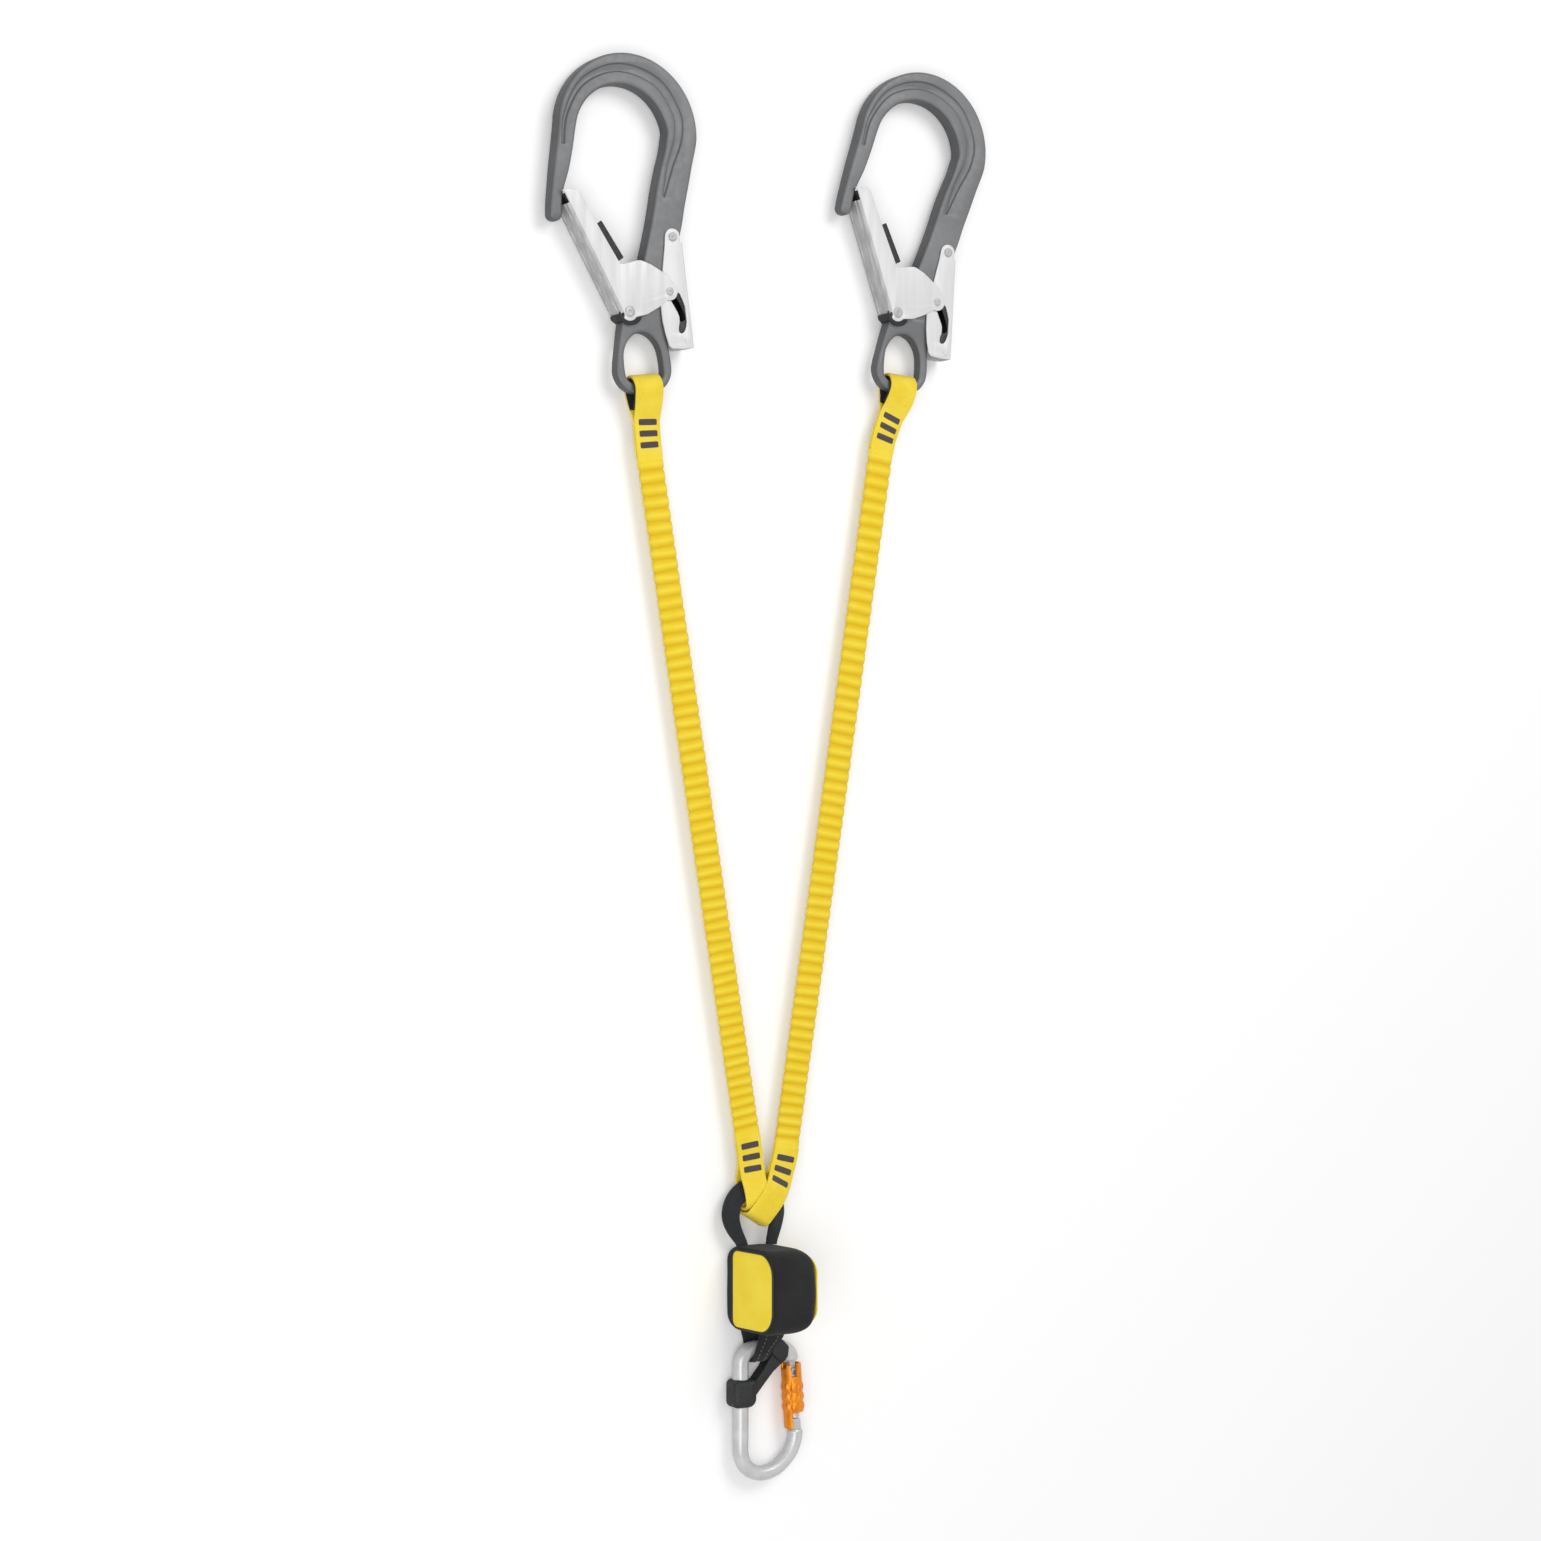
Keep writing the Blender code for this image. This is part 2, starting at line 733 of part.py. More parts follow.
def build_hooks():
    frame = make_mesh("hook_frame", *hook_frame_shape())
    gate_points, bumper_points = gate_shapes()
    gate = make_mesh("hook_gate", *moved(gate_points, -PIVOT[0], -PIVOT[1]))
    bumper = make_mesh("gate_bumper", *moved(bumper_points, -PIVOT[0], -PIVOT[1]))
    lever = make_mesh(
        "hook_lever", *moved(lever_shape(), -LEVER_PIVOT[0], -LEVER_PIVOT[1])
    )
    gate_rivet = make_mesh("gate_rivet", *rivet(GATE_SHANK, 3.8, GATE_HIGH + GAP, HEAD_TOP))
    under = LEVER_HIGH + GAP
    lever_rivet = make_mesh("lever_rivet", *rivet(LEVER_SHANK, 3.2, under, LEVER_HIGH + 1.3))
    follower = make_mesh(
        "follower_rivet", *rivet(FOLLOWER_SHANK, 2.8, GATE_HIGH + GAP, HEAD_TOP, 10)
    )
    pin = make_mesh("lever_pin", *rivet(1.2, 1.9, under, LEVER_HIGH + 0.9, 8))
    gate_spring = make_mesh("gate_spring", *gate_spring_shape())
    lever_spring = make_mesh("lever_spring", *lever_spring_shape())
    for side, eye, lean in (
        ("left", LEFT_EYE, LEFT_LEAN),
        ("right", RIGHT_EYE, RIGHT_LEAN),
    ):
        tilt = axis(f"{side}_hook_axis", eye[0], eye[1], AXIS_Z, lean, whole)
        pivot = axis(f"{side}_gate_axis", *PIVOT, 0.0, 0.0, tilt)
        squeeze = axis(f"{side}_lever_axis", *LEVER_PIVOT, 0.0, 0.0, tilt)
        add(f"{side}_hook_frame", frame, "forged_grey", tilt)
        add(f"{side}_lever_spring", lever_spring, "spring_wire", tilt)
        add(f"{side}_gate_rivet", gate_rivet, "light_rivet", pivot)
        add(f"{side}_gate_spring", gate_spring, "spring_wire", pivot)
        add(f"{side}_hook_gate", gate, "light_plate", pivot)
        add(f"{side}_gate_bumper", bumper, "dark_rubber", pivot)
        riveted = add(f"{side}_follower_rivet", follower, "light_rivet", pivot)
        riveted.location = (
            (FOLLOWER[0] - PIVOT[0]) * MM,
            (FOLLOWER[1] - PIVOT[1]) * MM,
            0.0,
        )
        add(f"{side}_lever_rivet", lever_rivet, "light_rivet", squeeze)
        add(f"{side}_hook_lever", lever, "light_plate", squeeze)
        footed = add(f"{side}_lever_pin", pin, "spring_wire", squeeze)
        footed.location = (
            (36.0 - LEVER_PIVOT[0]) * MM,
            (29.0 - LEVER_PIVOT[1]) * MM,
            0.0,
        )


def eye_profile(radius, meet, near, tail):
    """Front strand, round the bar, back strand, as (s, z about the middle)."""
    front = [(tail, near), (meet + 8, near), (meet, near + 0.15), (meet * 0.55, radius * 0.62)]
    bend = [
        (-radius * math.sin(math.radians(a)), radius * math.cos(math.radians(a)))
        for a in range(-12, 193, 34)
    ]
    half = front + bend
    mirrored = [(s, -z) for s, z in front[::-1]]
    return smooth(half + mirrored, 2)


def build_upper_eye(side, eye, lean, neck, sway):
    """The yellow eye round a hook's bar and its liner."""
    eye_point = Vector(eye)
    down = -Vector(lean_direction(lean))
    eye_point += Vector((-down.y, down.x)) * EYE_MID
    arm = (Vector(neck) - eye_point).normalized()
    end = eye_point + arm * UPPER_NECK + Vector((-arm.y, arm.x)) * sway
    arm = (Vector(neck) - end).normalized()
    plan = Plan(
        bezier(eye_point, eye_point + down * 16, end - arm * 18, end, 24)
    )
    reach = plan.at[-1]
    profile = eye_profile(8.6, 22.0, 1.2, reach - NECK_GAP / 2)
    place = [(s, z + AXIS_Z) for s, z in profile]
    eye_strap = strap_shape(
        strap_stations(plan, place, lambda s: blend_value(s, 2, 30, 11.0, 10.0)), STRAP
    )
    inner = [p for p in offset_profile(place, 1.7) if p[0] < 11.0]
    liner = strap_shape(strap_stations(plan, inner, lambda s: 11.3), 0.8)
    tilt = axis(f"{side}_eye_axis", end.x, end.y, AXIS_Z, 0.0, whole)
    shift = (-end.x, -end.y, -AXIS_Z)
    add(f"{side}_upper_eye", moved(eye_strap, *shift), "yellow_webbing", tilt)
    add(f"{side}_eye_liner", moved(liner, *shift), "black_liner", tilt)
    return end


def build_elastic(side, neck, end):
    """The ribbed elastic webbing of one arm, straight from its neck to its upper eye."""
    start = Vector(neck)
    finish = Vector(end)
    run = (finish - start).normalized()
    length = (finish - start).length - NECK_GAP
    across = Vector((run.y, -run.x, 0))
    ribs = 60
    pitch = length / ribs
    rings = []
    for i in range(2 * ribs + 1):
        s = pitch * i / 2
        wide = i % 2 == 1
        if i in (0, 2 * ribs):
            wide = False
        half_width = 10.0 if wide else 9.1
        half = 2.6 if wide else 1.9
        place = start + run * (s + NECK_GAP / 2)
        centre = Vector((place.x, place.y, AXIS_Z))
        ring = []
        for a, b in ((1, 0), (0.86, 1), (-0.86, 1), (-1, 0), (-0.86, -1), (0.86, -1)):
            ring.append(tuple(centre + across * a * half_width + Vector((0, 0, b * half))))
        rings.append(ring)
    swing = axis(f"{side}_arm_axis", neck[0], neck[1], AXIS_Z, 0.0, whole)
    shape = moved(shape_loft(rings), -neck[0], -neck[1], -AXIS_Z)
    add(f"{side}_elastic_webbing", shape, "yellow_webbing", swing)


def ring_shape():
    """The black webbing ring, a cone band whose two roots go into the pouch."""
    roots = [(ROOTS[0], FLEX_Y), (ROOTS[1], FLEX_Y)]
    left = bezier(
        roots[0],
        (roots[0][0] - 0.4, FLEX_Y + 5.0),
        rotated((RING[0] - RING_R, RING[1] - 9.0), 12, RING),
        rotated((RING[0] - RING_R, RING[1]), 8, RING),
        8,
    )
    top = arc(RING, RING_R, 188, -8, 28)
    right = bezier(
        rotated((RING[0] + RING_R, RING[1]), -8, RING),
        rotated((RING[0] + RING_R, RING[1] - 9.0), -12, RING),
        (roots[1][0] + 0.4, FLEX_Y + 5.0),
        roots[1],
        8,
    )
    path = left[:-1] + top + right[1:]
    size = len(path)
    half = RING_STRAP / 2
    rings = []
    for i, point in enumerate(path):
        before = path[max(i - 1, 0)]
        after = path[min(i + 1, size - 1)]
        along = (Vector(after) - Vector(before)).normalized()
        out = Vector((-along.y, along.x))
        from_root = min(i, size - 1 - i)
        tilt = math.radians(blend_value(from_root, 1, 9, 0.0, RING_TILT))
        width = blend_value(from_root, 1, 10, 9.0, RING_WIDTH) / 2
        across = Vector((out.x * math.cos(tilt), out.y * math.cos(tilt), -math.sin(tilt)))
        normal = Vector((out.x * math.sin(tilt), out.y * math.sin(tilt), math.cos(tilt)))
        centre = Vector((point[0], point[1], AXIS_Z))
        rings.append((centre, across, normal, width, Vector((along.x, along.y, 0))))
    loops = []
    corners = ((1, 0, 0), (1, 0.7, 1), (-1, 0.7, 1), (-1, 0, 0), (-1, 0.7, -1), (1, 0.7, -1))
    for number, (centre, across, normal, width, along) in enumerate(rings):
        loops.append(
            [
                tuple(centre + across * a * (width - b * 1.2) + normal * c * half)
                for a, b, c in corners
            ]
        )
    ends = []
    for which, outward in ((0, -1), (size - 1, 1)):
        centre, across, normal, width, along = rings[which]
        extra = []
        for push, thin in ((0.7, 0.93), (1.5, 0.7), (2.0, 0.3)):
            extra.append(
                [
                    tuple(
                        centre
                        + along * outward * push
                        + across * a * (width - b * 1.2)
                        + normal * c * half * thin
                    )
                    for a, b, c in corners
                ]
            )
        ends.append(extra)
    return shape_loft(ends[0][::-1] + loops + ends[1])


def build_ring():
    flex = axis("ring_axis", RING[0], FLEX_Y, AXIS_Z, 0.0, whole)
    shift = (-RING[0], -FLEX_Y, -AXIS_Z)
    add("webbing_ring", moved(ring_shape(), *shift), "black_webbing", flex)
    centre = Vector(RING)

    left_run = Vector((-0.158, 0.9874))
    left_side = Vector((0.9874, 0.158))
    fold = centre + left_run * 5.0 + left_side * 1.0
    neck = Vector(LEFT_NECK)
    left_plan = Plan(bezier(fold, fold + left_run * 14, neck - left_run * 26, neck, 24))
    reach = left_plan.at[-1] - NECK_GAP / 2
    profile = smooth(
        [(reach, 11.4), (43, 11.4), (31, 11.5), (22, 12.7), (15, 15.0), (7, 16.2), (2.2, 15.2)]
        + [(0.2, 12.6), (0, 10.2), (0.2, 7.6), (2, 5.1), (7, 4.2), (20, 4.25), (26, 6.6)]
        + [(31, 8.8), (43, 9.0), (reach, 9.0)],
        2,
    )
    strap = strap_shape(
        strap_stations(left_plan, profile, lambda s: blend_value(s, 4, 26, 9.3, 10.0)), STRAP
    )
    add("left_lower_eye", moved(strap, *shift), "yellow_webbing", flex)

    start_run = Vector((0.5, 0.866))
    end_run = Vector((0.169, 0.9856))
    fold = centre + Vector((-1.1, -3.9))
    neck = Vector(RIGHT_NECK)
    right_plan = Plan(
        bezier(fold, fold + start_run * 15, neck - end_run * 33, neck, 28)
    )
    last = right_plan.at[-1]
    reach = last - NECK_GAP / 2
    profile = smooth(
        [(reach, 11.4), (last - 14, 11.4), (last - 21, 11.9), (last - 25.5, 14.8)]
        + [(last - 30, 17.7), (14, 18.4), (5, 18.2), (1.3, 16.8), (0.1, 13.6), (0.1, 6.6)]
        + [(1.3, 3.0), (5, 1.7), (last - 30, 1.7), (last - 25.5, 4.2), (last - 21, 8.2)]
        + [(last - 14, 9.0), (reach, 9.0)],
        2,
    )
    strap = strap_shape(
        strap_stations(right_plan, profile, lambda s: blend_value(s, 10, 34, 9.6, 10.0)), STRAP
    )
    add("right_lower_eye", moved(strap, *shift), "yellow_webbing", flex)


def pouch_block(inset):
    """The pouch's outer shape, drawn in by the inset."""
    rings = []
    corners = [max(r - inset * 0.6, 0.9) for r in POUCH_CORNERS]
    end = POUCH_END - inset
    turns = (0, 30, 60, 90)
    stations = []
    for a in turns[::-1]:
        s = math.sin(math.radians(a))
        c = math.cos(math.radians(a))
        stations.append((POUCH_Y0 + inset + end * (1 - s), end * (1 - c)))
    for a in turns:
        s = math.sin(math.radians(a))
        c = math.cos(math.radians(a))
        stations.append((POUCH_Y1 - inset - end * (1 - s), end * (1 - c)))
    for y, low in stations:
        loop = rounded(
            POUCH_X0 + inset + 0.12 * low,
            POUCH_X1 - inset - 0.5 * low,
            inset + low,
            POUCH_HEIGHT - inset - low,
            corners,
            3,
        )
        rings.append([(x + POUCH_SHIFT * z / POUCH_HEIGHT, y, z) for x, z in loop])
    return shape_loft(rings)


def box(x0, x1, y0, y1, z0, z1):
    return shape_slab([(x0, y0), (x1, y0), (x1, y1), (x0, y1)], z0, z1)


def build_pouch():
    cavity = pouch_block(POUCH_WALL)
    upper = box(
        ROOTS[0] - 5.4, ROOTS[1] + 5.4, FLEX_Y - 6.3, FLEX_Y + 9.2, AXIS_Z - 6.0, AXIS_Z + 6.0
    )
    lower = box(LOOP_X - 12.2, LOOP_X + 16.3, POUCH_Y0 - 9.0, POUCH_Y0 + 6.5, 1.6, 17.9)
    shell = combine("pouch_cut", pouch_block(0.0), [cavity, upper, lower], "DIFFERENCE")
    root = axis("pouch_axis", RING[0], FLEX_Y, AXIS_Z, 0.0, whole)
    shift = (-RING[0], -FLEX_Y, -AXIS_Z)
    add("pouch_shell", moved(shell, *shift), "black_fabric", root)
    slant = math.atan2(POUCH_SHIFT, POUCH_HEIGHT)
    height = math.hypot(POUCH_SHIFT, POUCH_HEIGHT)
    left_loop = rounded(
        POUCH_Y0 + 1.6, POUCH_Y1 - 2.4, 9.4, height - 1.6, (11.0, 10.0, 4.0, 4.0), 5
    )
    right_loop = rounded(
        POUCH_Y0 + 9.0, POUCH_Y1 - 9.0, 6.0, height - 6.0, (7.0, 7.0, 4.0, 4.0), 4
    )
    for name, base, sign, loop in (
        ("left_pouch_panel", POUCH_X0, -1, left_loop),
        ("right_pouch_panel", POUCH_X1, 1, right_loop),
    ):
        flat, faces = shape_slab(loop, GAP, GAP + 0.8, chamfer=0.25)
        points = []
        for y, h, out in flat:
            x = base + h * math.sin(slant) + sign * out * math.cos(slant)
            z = h * math.cos(slant) - sign * out * math.sin(slant)
            points.append((x, y, z))
        add(name, moved((points, faces), *shift), "yellow_fabric", root)
    layers = 10
    pitch = 4.2
    first = AXIS_Z
    path = []
    for k in range(layers):
        z = first + pitch * k
        left, right = (POUCH_Y0 + 12.5, POUCH_Y1 - 7.5)
        if k == 0:
            right = POUCH_Y1 - 3.7
        ends = ((right, left), (left, right))[k % 2]
        turn = -1 if k % 2 == 0 else 1
        path += [(ends[0], z), (ends[1], z)]
        if k < layers - 1:
            for a in (-30, 30):
                angle = math.radians(a)
                reach = turn * 2.0 * math.cos(angle)
                path.append((ends[1] + reach, z + pitch / 2 + pitch / 2 * math.sin(angle)))
    stations = []
    size = len(path)
    for i, (y, z) in enumerate(path):
        before = path[max(i - 1, 0)]
        after = path[min(i + 1, size - 1)]
        slope = Vector((after[0] - before[0], after[1] - before[1])).normalized()
        if before == path[i] or after == path[i] or abs(slope.y) < 0.4 and abs(slope.x) > 0.9:
            slope = Vector((math.copysign(1.0, slope.x), 0.0))
        x = 0.5 * (POUCH_X0 + POUCH_X1) + POUCH_SHIFT * z / POUCH_HEIGHT
        stations.append(
            (
                Vector((x, y, z)),
                Vector((1, 0, 0)),
                Vector((0, -slope.y, slope.x)),
                14.5,
            )
        )
    pack = strap_shape(stations, 1.8)
    add("tear_webbing", moved(pack, *shift), "black_webbing", root)

    bend = []
    for a in range(-80, 81, 20):
        angle = math.radians(a)
        bend.append((TOP_Y - LOOP_R * math.cos(angle), ROD_Z + LOOP_R * math.sin(angle)))
    tail = POUCH_Y0 + 7.8
    low = [(tail, 5.0), (tail - 5.0, 4.0), (tail - 10.0, 3.0), (tail - 16.0, 2.1)]
    high = [(tail - 16.0, 17.3), (tail - 10.0, 16.4), (tail - 5.0, 15.4), (tail, 14.4)]
    profile = smooth(low + bend + high, 2)
    stations = []
    size = len(profile)
    for i, (y, z) in enumerate(profile):
        before = profile[max(i - 1, 0)]
        after = profile[min(i + 1, size - 1)]
        slope = Vector((after[0] - before[0], after[1] - before[1])).normalized()
        lift = blend_value(i, 0, size / 2, 1.0, 0.0)
        x = blend_value(y, TOP_Y + 2.7, TOP_Y + 13.2, LOOP_X, LOOP_X + 4.6 - 5.0 * lift)
        width = blend_value(y, TOP_Y + 2.7, TOP_Y + 13.2, 6.3, 9.4)
        stations.append(
            (
                Vector((x, y, z)),
                Vector((1, 0, 0)),
                Vector((0, -slope.y, slope.x)),
                width,
            )
        )
    loop_strap = strap_shape(stations, LOOP_STRAP)
    add("lower_loop", moved(loop_strap, *shift), "black_webbing", root)


def gate_point(along, out=0.0):
    """A plan point measured down the carabiner gate's axis and out from it."""
    x = CARA_PIVOT[0] + CARA_AXIS[0] * along - CARA_AXIS[1] * out
    y = CARA_PIVOT[1] + CARA_AXIS[1] * along + CARA_AXIS[0] * out
    return (x, y)


def rod_path():
    """The carabiner's round bar, from the hinge end round to the nose end."""
    start = gate_point(-8.3)
    lean = (CARA_AXIS[0], CARA_AXIS[1])
    corner = bezier(
        start,
        (start[0] - lean[0] * 6.0, start[1] - lean[1] * 6.0),
        (SPINE_X + CARA_WIDTH - 9.4, TOP_Y),
        (SPINE_X + CARA_WIDTH - 15.9, TOP_Y),
        8,
    )
    corner_r = 10.3
    path = corner + [(SPINE_X + 22.3, TOP_Y), (SPINE_X + 16.3, TOP_Y)]
    path += arc((SPINE_X + corner_r, TOP_Y - corner_r), corner_r, 90, 180, 7)
    high = TOP_Y - 16.8
    straight = high - CARA_LOW - 22.5
    path += [(SPINE_X, high - straight * k / 4) for k in range(5)]
    bend = [(0.0, 16.5), (2.7, 8.0), (9.3, 2.1), (18.1, 0.0)]
    bend += [(CARA_WIDTH - 14.9, 2.9), (CARA_WIDTH - 4.7, 11.5), (CARA_WIDTH, 21.5)]
    low = smooth([(SPINE_X + x, CARA_LOW + y) for x, y in bend] + [gate_point(TONGUE_END)], 3)
    return path + low


def tongue(start, end, half_x, half_z):
    loop = [
        gate_point(start, -half_x),
        gate_point(start, half_x),
        gate_point(end, half_x),
        gate_point(end, -half_x),
    ]
    return loop, half_z


def build_carabiner():
    hang = axis("carabiner_axis", SPINE_X, TOP_Y, ROD_Z, 0.0, whole)
    pivot = axis("carabiner_gate_axis", CARA_PIVOT[0], CARA_PIVOT[1], ROD_Z, 0.0, whole)
    shift = (-SPINE_X, -TOP_Y, 0.0)
    path = rod_path()
    size = len(path)
    radii = [
        blend_value(point[1], CARA_LOW + 32.5, CARA_LOW + 2.5, ROD_R, ROD_R - 0.4)
        if i > 12
        else ROD_R
        for i, point in enumerate(path)
    ]
    radii[0] = ROD_R - 0.6
    radii[-1] = ROD_R - 0.6
    rod = shape_tube([(x, y, 0.0) for x, y in path], radii, 12)
    hinge_loop = [
        gate_point(-10.5, -2.4),
        gate_point(-10.5, 2.4),
        gate_point(-2.6, 2.4),
        gate_point(-1.4, 2.8),
        gate_point(1.0, 2.8),
        gate_point(2.6, 1.6),
        gate_point(3.0, 0.0),
        gate_point(2.6, -1.6),
        gate_point(1.0, -2.8),
        gate_point(-1.4, -2.8),
        gate_point(-2.6, -2.4),
    ]
    hole = arc(CARA_PIVOT, 1.3 + GAP, 0, 330, 11)
    hinge_tongue = shape_slab(hinge_loop, -2.5, 2.5, [hole])
    nose_loop, nose_half = tongue(TONGUE_TOP, TONGUE_END + 2.0, 4.0, 2.6)
    nose_tongue = shape_slab(nose_loop, -nose_half, nose_half)
    frame = combine("rod_shape", rod, [hinge_tongue, nose_tongue], "UNION")
    add("carabiner_frame", moved(frame, *shift), "polished_alloy", hang)

    pin = add("carabiner_gate_rivet", rivet(1.3, 1.8, 4.65, 5.05, 12), "spring_wire", pivot)
    pin.location = (0.0, 0.0, 0.0)

    ax = math.degrees(math.atan2(CARA_AXIS[0], -CARA_AXIS[1]))
    turn = Matrix.Rotation(math.radians(ax), 4, "Z") @ Matrix.Rotation(math.radians(90), 4, "X")

    def along_gate(shape):
        """Turns a shape whose +Z runs down the gate, with +X outward."""
        points, faces = shape
        return [tuple(turn @ Vector(p)) for p in points], faces

    gate_rod = shape_lathe(
        [(0, 5.2), (5.0, 5.2), (5.0, 8.5), (3.2, 9.3), (3.2, GATE_TIP - 6.4), (4.0, GATE_TIP - 5.6)]
        + [(4.0, GATE_TIP - 0.4), (3.6, GATE_TIP), (0, GATE_TIP)],
        14,
    )
    cheeks = []
    for side in (-1, 1):
        low = 2.85
        high = 4.35
        loop = [(-2.6, 6.2), (2.6, 6.2), (2.6, -1.2), (1.6, -2.6), (-1.6, -2.6), (-2.6, -1.2)]
        rivet_hole = arc((0, 0), 1.3 + GAP, 0, 330, 11)
        flat, faces = shape_slab(loop, low, high, [rivet_hole])
        cheeks.append(([(x, side * z, y) for x, y, z in flat], faces))
    gate = combine("gate_rod_shape", gate_rod, cheeks, "UNION")
    add("carabiner_gate", along_gate(gate), "polished_alloy", pivot)

    def tube_sleeve(start, end, inner, outer, cut=None, sides=24):
        rings_in = []
        for radius, z in ((inner, start), (inner, end), (outer, end), (outer, start)):
            ring = []
            for k in range(sides):
                a = 2 * math.pi * k / sides
                ring.append((radius * math.cos(a), radius * math.sin(a), z))
            rings_in.append(ring)
        return shape_loft(rings_in, True)

    sleeve = tube_sleeve(SLEEVE_TOP, SLEEVE_END, SLEEVE_BORE, SLEEVE_R)
    notches = []
    for first, last, low, high in (
        (-32, 112, SLEEVE_END - 11.5, SLEEVE_END + 3.0),
        (86, 122, SLEEVE_TOP - 3.0, 3.1),
        (150, 218, SLEEVE_TOP - 3.0, -3.0),
    ):
        wedge = [(0.0, 0.0)] + arc((0.0, 0.0), 12.0, first, last, 6)
        notches.append(shape_slab(wedge, low, high))
    sleeve = combine("sleeve_shape", sleeve, notches, "DIFFERENCE")
    add("locking_sleeve", along_gate(sleeve), "orange_sleeve", pivot)
    collar = tube_sleeve(23.2, 26.4, 3.2 + GAP, SLEEVE_BORE - GAP, None, 16)
    add("sleeve_collar", along_gate(collar), "spring_wire", pivot)
    coil = []
    count = 32
    for i in range(count + 1):
        t = i / count
        a = 2 * math.pi * 4.5 * t
        coil.append((4.5 * math.cos(a), 4.5 * math.sin(a), 10.0 + 12.6 * t))
    spring = shape_tube(coil, 0.4, 4)
    add("sleeve_spring", along_gate(spring), "spring_wire", pivot)

    band_loop = rounded(
        SPINE_X - 8.5, SPINE_X + 9.8, TOP_Y - 40.5, TOP_Y - 20.5, (4.0, 4.0, 4.0, 4.0), 3
    )
    keeper_band = shape_slab(band_loop, -8.2, 8.2, chamfer=3.4)
    run = [(6.8, -30.8), (11.8, -24.3), (22.3, -12.3), (30.3, -3.3), (33.3, 0.7)]
    run = [(SPINE_X + x, TOP_Y + y) for x, y in run]
    diagonal = shape_slab(band(run, [7.0, 7.4, 7.0, 7.0, 7.0]), -4.5, 4.5)
    collar_loop = rounded(
        SPINE_X + 29.8, SPINE_X + 38.1, TOP_Y - 9.4, TOP_Y + 8.6, (3.5, 3.5, 3.5, 3.5), 3
    )
    collar_band = shape_slab(collar_loop, -7.6, 7.6, chamfer=1.2)
    rubber = combine("keeper_shape", keeper_band, [diagonal, collar_band], "UNION")
    thick = shape_tube([(x, y, 0.0) for x, y in path], ROD_R + 0.35, 14)
    rubber = combine("keeper_cut", rubber, [thick], "DIFFERENCE")
    add("keeper_strap", moved(rubber, *shift), "dark_rubber", hang)


for old in list(bpy.data.objects):
    bpy.data.objects.remove(old)

material("forged_grey", (0.18, 0.19, 0.2), 0.45, 0.9)
material("light_plate", (0.75, 0.76, 0.77), 0.35, 0.9)
material("light_rivet", (0.7, 0.7, 0.7), 0.35, 0.9)
material("spring_wire", (0.2, 0.2, 0.21), 0.4, 0.9)
material("dark_rubber", (0.02, 0.02, 0.022), 0.7, 0.0)
material("yellow_webbing", (0.9, 0.68, 0.05), 0.8, 0.0)
material("yellow_fabric", (0.88, 0.62, 0.04), 0.75, 0.0)
material("black_webbing", (0.03, 0.03, 0.035), 0.8, 0.0)
material("black_fabric", (0.03, 0.03, 0.035), 0.85, 0.0)
material("black_liner", (0.02, 0.02, 0.02), 0.7, 0.0)
material("polished_alloy", (0.72, 0.72, 0.72), 0.22, 1.0)
material("orange_sleeve", (0.85, 0.26, 0.01), 0.35, 0.5)

whole = axis("lanyard", -LAYOUT_X, -LAYOUT_Y, 0.0)
build_hooks()
left_end = build_upper_eye("left", LEFT_EYE, LEFT_LEAN, LEFT_NECK, LEFT_SWAY)
right_end = build_upper_eye("right", RIGHT_EYE, RIGHT_LEAN, RIGHT_NECK, RIGHT_SWAY)
build_elastic("left", LEFT_NECK, left_end)
build_elastic("right", RIGHT_NECK, right_end)
build_ring()
build_pouch()
build_carabiner()
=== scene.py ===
"""Looks of a twin shock-absorbing lanyard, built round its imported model."""

import json
import math

import bmesh
import bpy
from mathutils import Matrix, Vector
from mathutils.geometry import tessellate_polygon

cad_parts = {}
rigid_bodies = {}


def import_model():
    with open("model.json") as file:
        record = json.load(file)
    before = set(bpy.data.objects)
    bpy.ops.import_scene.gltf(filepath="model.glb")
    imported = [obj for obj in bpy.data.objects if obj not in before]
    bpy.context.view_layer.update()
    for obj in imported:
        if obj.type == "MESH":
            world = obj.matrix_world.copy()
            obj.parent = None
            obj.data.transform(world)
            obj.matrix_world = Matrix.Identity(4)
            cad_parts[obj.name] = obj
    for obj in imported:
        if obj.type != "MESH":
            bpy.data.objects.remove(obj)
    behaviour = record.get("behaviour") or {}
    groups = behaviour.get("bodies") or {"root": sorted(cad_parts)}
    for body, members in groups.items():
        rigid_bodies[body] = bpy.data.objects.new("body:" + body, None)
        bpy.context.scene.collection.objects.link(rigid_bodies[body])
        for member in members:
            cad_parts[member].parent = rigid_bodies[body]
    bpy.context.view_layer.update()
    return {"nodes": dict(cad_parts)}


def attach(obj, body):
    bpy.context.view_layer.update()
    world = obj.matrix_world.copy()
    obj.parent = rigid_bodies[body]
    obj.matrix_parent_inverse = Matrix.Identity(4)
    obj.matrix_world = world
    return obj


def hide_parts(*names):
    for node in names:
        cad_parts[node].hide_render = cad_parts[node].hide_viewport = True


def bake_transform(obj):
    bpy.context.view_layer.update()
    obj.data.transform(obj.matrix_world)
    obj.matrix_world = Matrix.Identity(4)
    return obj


for old in list(bpy.data.objects):
    bpy.data.objects.remove(old)

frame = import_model()

